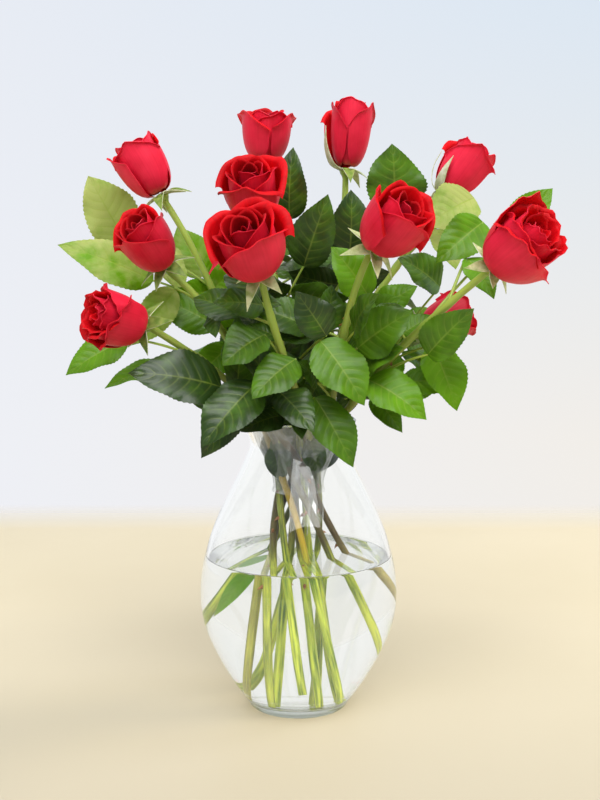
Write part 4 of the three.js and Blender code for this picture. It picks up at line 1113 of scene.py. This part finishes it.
def add_sepals(piece, rose):
    """Five sepals. Distance from the flower's axis grows evenly along each, and its height follows a
    quadratic through the foot, a middle dip and the tip; the half width falls as (1-s)^0.8, and the edges
    stand up. On the left of a flower with `hug` they follow a smooth curve close outside the petals."""
    R, H = rose["r"], rose["h"]
    close = [[3.4, -2.2], [0.62 * R + 0.8, 2.5], [0.9 * R + 1.5, 0.3 * H], [0.97 * R + 1.5, 0.58 * H]]
    first = draw()
    s = np.linspace(0, 1, 14)[:, None]
    u = np.linspace(1, -1, 7)[None, :]
    grids = []
    for k in range(5):
        angle = 2 * np.pi * (k + first + 0.25 * draw()) / 5
        length, dip = 15 + 8 * draw(), 2 + 12 * draw()
        r, rise = 3.4 + (length + 1.0) * s, bow(-2.2, -2.1, -dip, s)
        half = np.maximum(4.3 * (1 - s) ** 0.8 * (1 + 0.6 * np.sin(np.pi * s)), 0.08) * u
        stand = 0.09 * np.abs(half) ** 2 * (1 - 0.5 * s)
        leftward = -(rose["east"][0] * np.cos(angle) + rose["north"][0] * np.sin(angle))
        if "hug" in rose and leftward > 0.3:
            r, rise, stand = *eased(np.array(close), 13)[::3].T[:, :, None], 0.0
        r, rise = r + 0 * u, rise + stand
        grids.append(in_flower(rose, np.hypot(r, half), angle - np.arctan2(half, r), rise - GAP))
    # Three flowers get the paler sepal back.
    back = SEPAL_PALE if rose["name"] in PALE_BACKED else SEPAL_OUT
    add_sheets(piece, np.stack(grids), SEPAL_THICK, stacked(0.5 + 0.5 * u, s), (SEPAL_IN, back, SEPAL_IN))


points, _ = blade_grid(placed[0]["leaves"][0])
print("a leaflet has", points.shape[0] * points.shape[1], "points a side")

# %% All twelve leafy stems
LOW_FOOT, LOW_TIP = np.array([-24.0, 10, 108]), np.array([-49.0, 8, 72])
for number, (name, rose) in enumerate(ROSES.items(), 1):
    piece = Piece(f"greens_{number:02d}", greens_matter)
    luck = np.random.default_rng(200 + number)
    own = [found for found in placed if found["name"] == name]
    add_stem(piece, rose, np.array([found["start"][2] for found in own]), luck)
    if name == "j":
        leaf = make_leaf(LOW_FOOT, LOW_TIP, 11, np.array([0.2, -1, 0.9]))
        own.append(dict(start=rose["knee"], middle=rose["knee"] + [1, -4, -10], foot=LOW_FOOT, light=0.85,
                        leaves=[leaf]))
    for found in own:
        add_leaf(piece, found, luck)
    add_sepals(piece, rose)
    piece.make(sharp=60)
    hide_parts(f"leafy_stem_{number:02d}")

# %% [markdown]
# ## Table, light and camera
# The bunch stands on a pale cream table in front of a bright, faintly blue wall. The wall is the world's own
# light, bluer above and whiter below, and dimmer behind the camera, which is what draws the grey edges in the
# glass. The table is painted darker towards the camera, a painted shade. Glass and water bend sight lines to
# parts of the studio out of the picture that seem to have been white, so the world turns nearly white for a
# ray that has crossed glass; the table seen there is mixed with a pale glow, painted light in place of the
# light that glass and water gather on it; both go a shade greyer for a ray through water. A soft key lamp
# stands on the right and a little behind, a weaker one on the left in front, and a large one above in front,
# the only one that leaves mirror. The camera stands 0.86 m in front of the vase, 0.34 m up, and looks 6.5
# degrees down through a 50 mm lens.

# %% The table
TABLE_EDGE = 0.703
SIDE, NEAR, FAR = 3, -2.2, TABLE_EDGE + 0.1


def table_material():
    """Pale laminate, painted darker near the camera as painted shade, that fades out over 0.16 m at its far
    edge. What shows through glass and water is mixed with a pale glow, painted light in place of the light
    that glass and water gather on it."""
    material, add = new_material("table_pale_laminate")
    place = add("TexCoord").outputs["Object"]
    back = add("SeparateXYZ", [place]).outputs["Y"]
    cloud = add("TexNoise", {"Vector": place, "Scale": per_mm(240), "Detail": 3.0})
    # Painted shade: the table is made darker towards the camera.
    near = add("MapRange", {"Value": back, "From Min": 0.25, "From Max": -0.4})
    colour = "#ccbfa0"
    for share, other in ((cloud, "#d5c9ad"), (near, "#a9a08b")):
        colour = add("Mix", {0: share, 6: colour, 7: other}, data_type="RGBA")
    grain = add("TexNoise", {"Vector": place, "Scale": per_mm(2.5), "Detail": 2.0})
    bump = add("Bump", {"Height": grain, "Strength": 0.25, "Distance": 0.2 * MM})
    body = add("BsdfPrincipled", {"Base Color": colour, "Roughness": 0.55, "Normal": bump})
    crossed = add("LightPath").outputs["Transmission Depth"]
    # Painted light: the table seen through glass glows pale, where glass and water would gather light on it.
    gathered = add("MapRange", {"Value": crossed, "From Min": 0.5, "From Max": 4.0, "To Max": 0.9})
    in_water = add("MapRange", {"Value": crossed, "From Min": 4.5, "From Max": 7.0})
    shine = add("Mix", {0: in_water, 6: "#fcfdfc", 7: "#e9ece8"}, data_type="RGBA")
    both = add("MixShader", [gathered, body, add("Emission", [shine])])
    far = add("MapRange", {"Value": back, "From Min": TABLE_EDGE - 0.1, "From Max": TABLE_EDGE + 0.06})
    soft = add("MixShader", [far, both, add("BsdfTransparent")])
    add("OutputMaterial", {"Surface": soft})
    return material


table_mesh = bpy.data.meshes.new("table")
corners = [(x, y, 0) for x, y in ((-SIDE, NEAR), (SIDE, NEAR), (SIDE, FAR), (-SIDE, FAR))]
table_mesh.from_pydata(corners, [], [(0, 1, 2, 3)])
table_mesh.materials.append(table_material())
table = bpy.data.objects.new("table", table_mesh)
scene.collection.objects.link(table)
print("table edge at", TABLE_EDGE, "m behind the vase")

# %% The studio's own light
world = bpy.data.worlds.new("studio")
scene.world = world
world.use_nodes = True
world.node_tree.nodes.clear()
add = partial(add_node, world.node_tree)
ray = add("LightPath").outputs
way = add("SeparateXYZ", [add("TexCoord").outputs["Generated"]]).outputs
crossed = ray["Transmission Depth"]
as_light = add("Math", [ray["Is Diffuse Ray"], -0.24, 1.0], operation="MULTIPLY_ADD")
strength = add("Math", [ray["Is Transmission Ray"], 0.11, as_light], operation="MULTIPLY_ADD")
across = add("MapRange", {"Value": way["X"], "From Min": -0.3, "From Max": 0.3})
height = add("MapRange", {"Value": way["Z"], "From Min": -0.14, "From Max": 0.26})
ahead = add("MapRange", {"Value": way["Y"], "From Min": -0.25, "From Max": 0.45})
above = add("Mix", {0: across, 6: "#e8ecf4", 7: "#d9e6f3"}, data_type="RGBA")
wall = add("Mix", {0: across, 6: "#eef0f6", 7: "#f2eee8"}, data_type="RGBA")
through = add("Math", [ray["Is Transmission Ray"], 0.65], operation="MULTIPLY")
in_water = add("MapRange", {"Value": crossed, "From Min": 4.5, "From Max": 7.0, "To Max": 0.8})
for share, other in ((height, above), (through, "#f1f3f0"), (in_water, "#dfe2de")):
    wall = add("Mix", {0: share, 6: wall, 7: other}, data_type="RGBA")
light = add("Mix", {0: ray["Is Diffuse Ray"], 6: "#8b9195", 7: "#c9ced2"}, data_type="RGBA")
wet = add("MapRange", {"Value": crossed, "From Min": 2.5, "From Max": 4.5, "To Max": 0.6})
for share, other in ((wet, "#e6e9e4"), (ahead, wall)):
    light = add("Mix", {0: share, 6: light, 7: other}, data_type="RGBA")
add("OutputWorld", {"Surface": add("Background", {"Color": light, "Strength": strength})})
print("the world has", len(world.node_tree.nodes), "nodes")

# %% Lamps
LAMPS = {
    "key_right": dict(place=(2.55, 0.6, 2.1), aim=(0, 0, 0.25), size=1.0, power=62, colour="#fff6ea"),
    "fill_left_front": dict(place=(-2.0, -2.0, 2.2), aim=(0, 0, 0.25), size=1.8, power=44, colour="#f6f8ff"),
    "top_front": dict(place=(0.3, -1.7, 2.6), aim=(0, 0, 0.33), size=2.2, power=92, colour="#ffffff")}
for name, given in LAMPS.items():
    # A square soft lamp, in metres and watts, turned to a point on the vase's axis. It isn't seen through
    # glass and water, and only the one above in front shows in mirror-like surfaces, leaves and glass alike.
    place, aim = given["place"], given["aim"]
    data = bpy.data.lights.new(name, "AREA")
    data.size, data.energy, data.color = given["size"], given["power"], linear(given["colour"])[:3]
    lamp = bpy.data.objects.new(name, data)
    from_to = Vector(aim) - Vector(place)
    lamp.location = place
    lamp.rotation_euler = from_to.to_track_quat("-Z", "Y").to_euler()
    lamp.visible_transmission = False
    lamp.visible_glossy = name == "top_front"
    scene.collection.objects.link(lamp)
print(len(LAMPS), "lamps placed")

# %% Camera
LENS, FILM_WIDTH, LOOK_DOWN = 50, 36, 6.46
camera_data = bpy.data.cameras.new("camera")
camera_data.lens, camera_data.sensor_width = LENS, FILM_WIDTH
camera = bpy.data.objects.new("camera", camera_data)
camera.location = (0.0012, -0.860, 0.340)
camera.rotation_euler = (np.radians(90 - LOOK_DOWN), 0, 0)
scene.collection.objects.link(camera)
scene.camera = camera
scene.view_settings.view_transform = "Standard"
for kind in ("max_bounces", "transmission_bounces", "glossy_bounces"):
    setattr(scene.cycles, kind, 64)
scene.cycles.transparent_max_bounces = 16
print("camera looks down", LOOK_DOWN, "degrees")
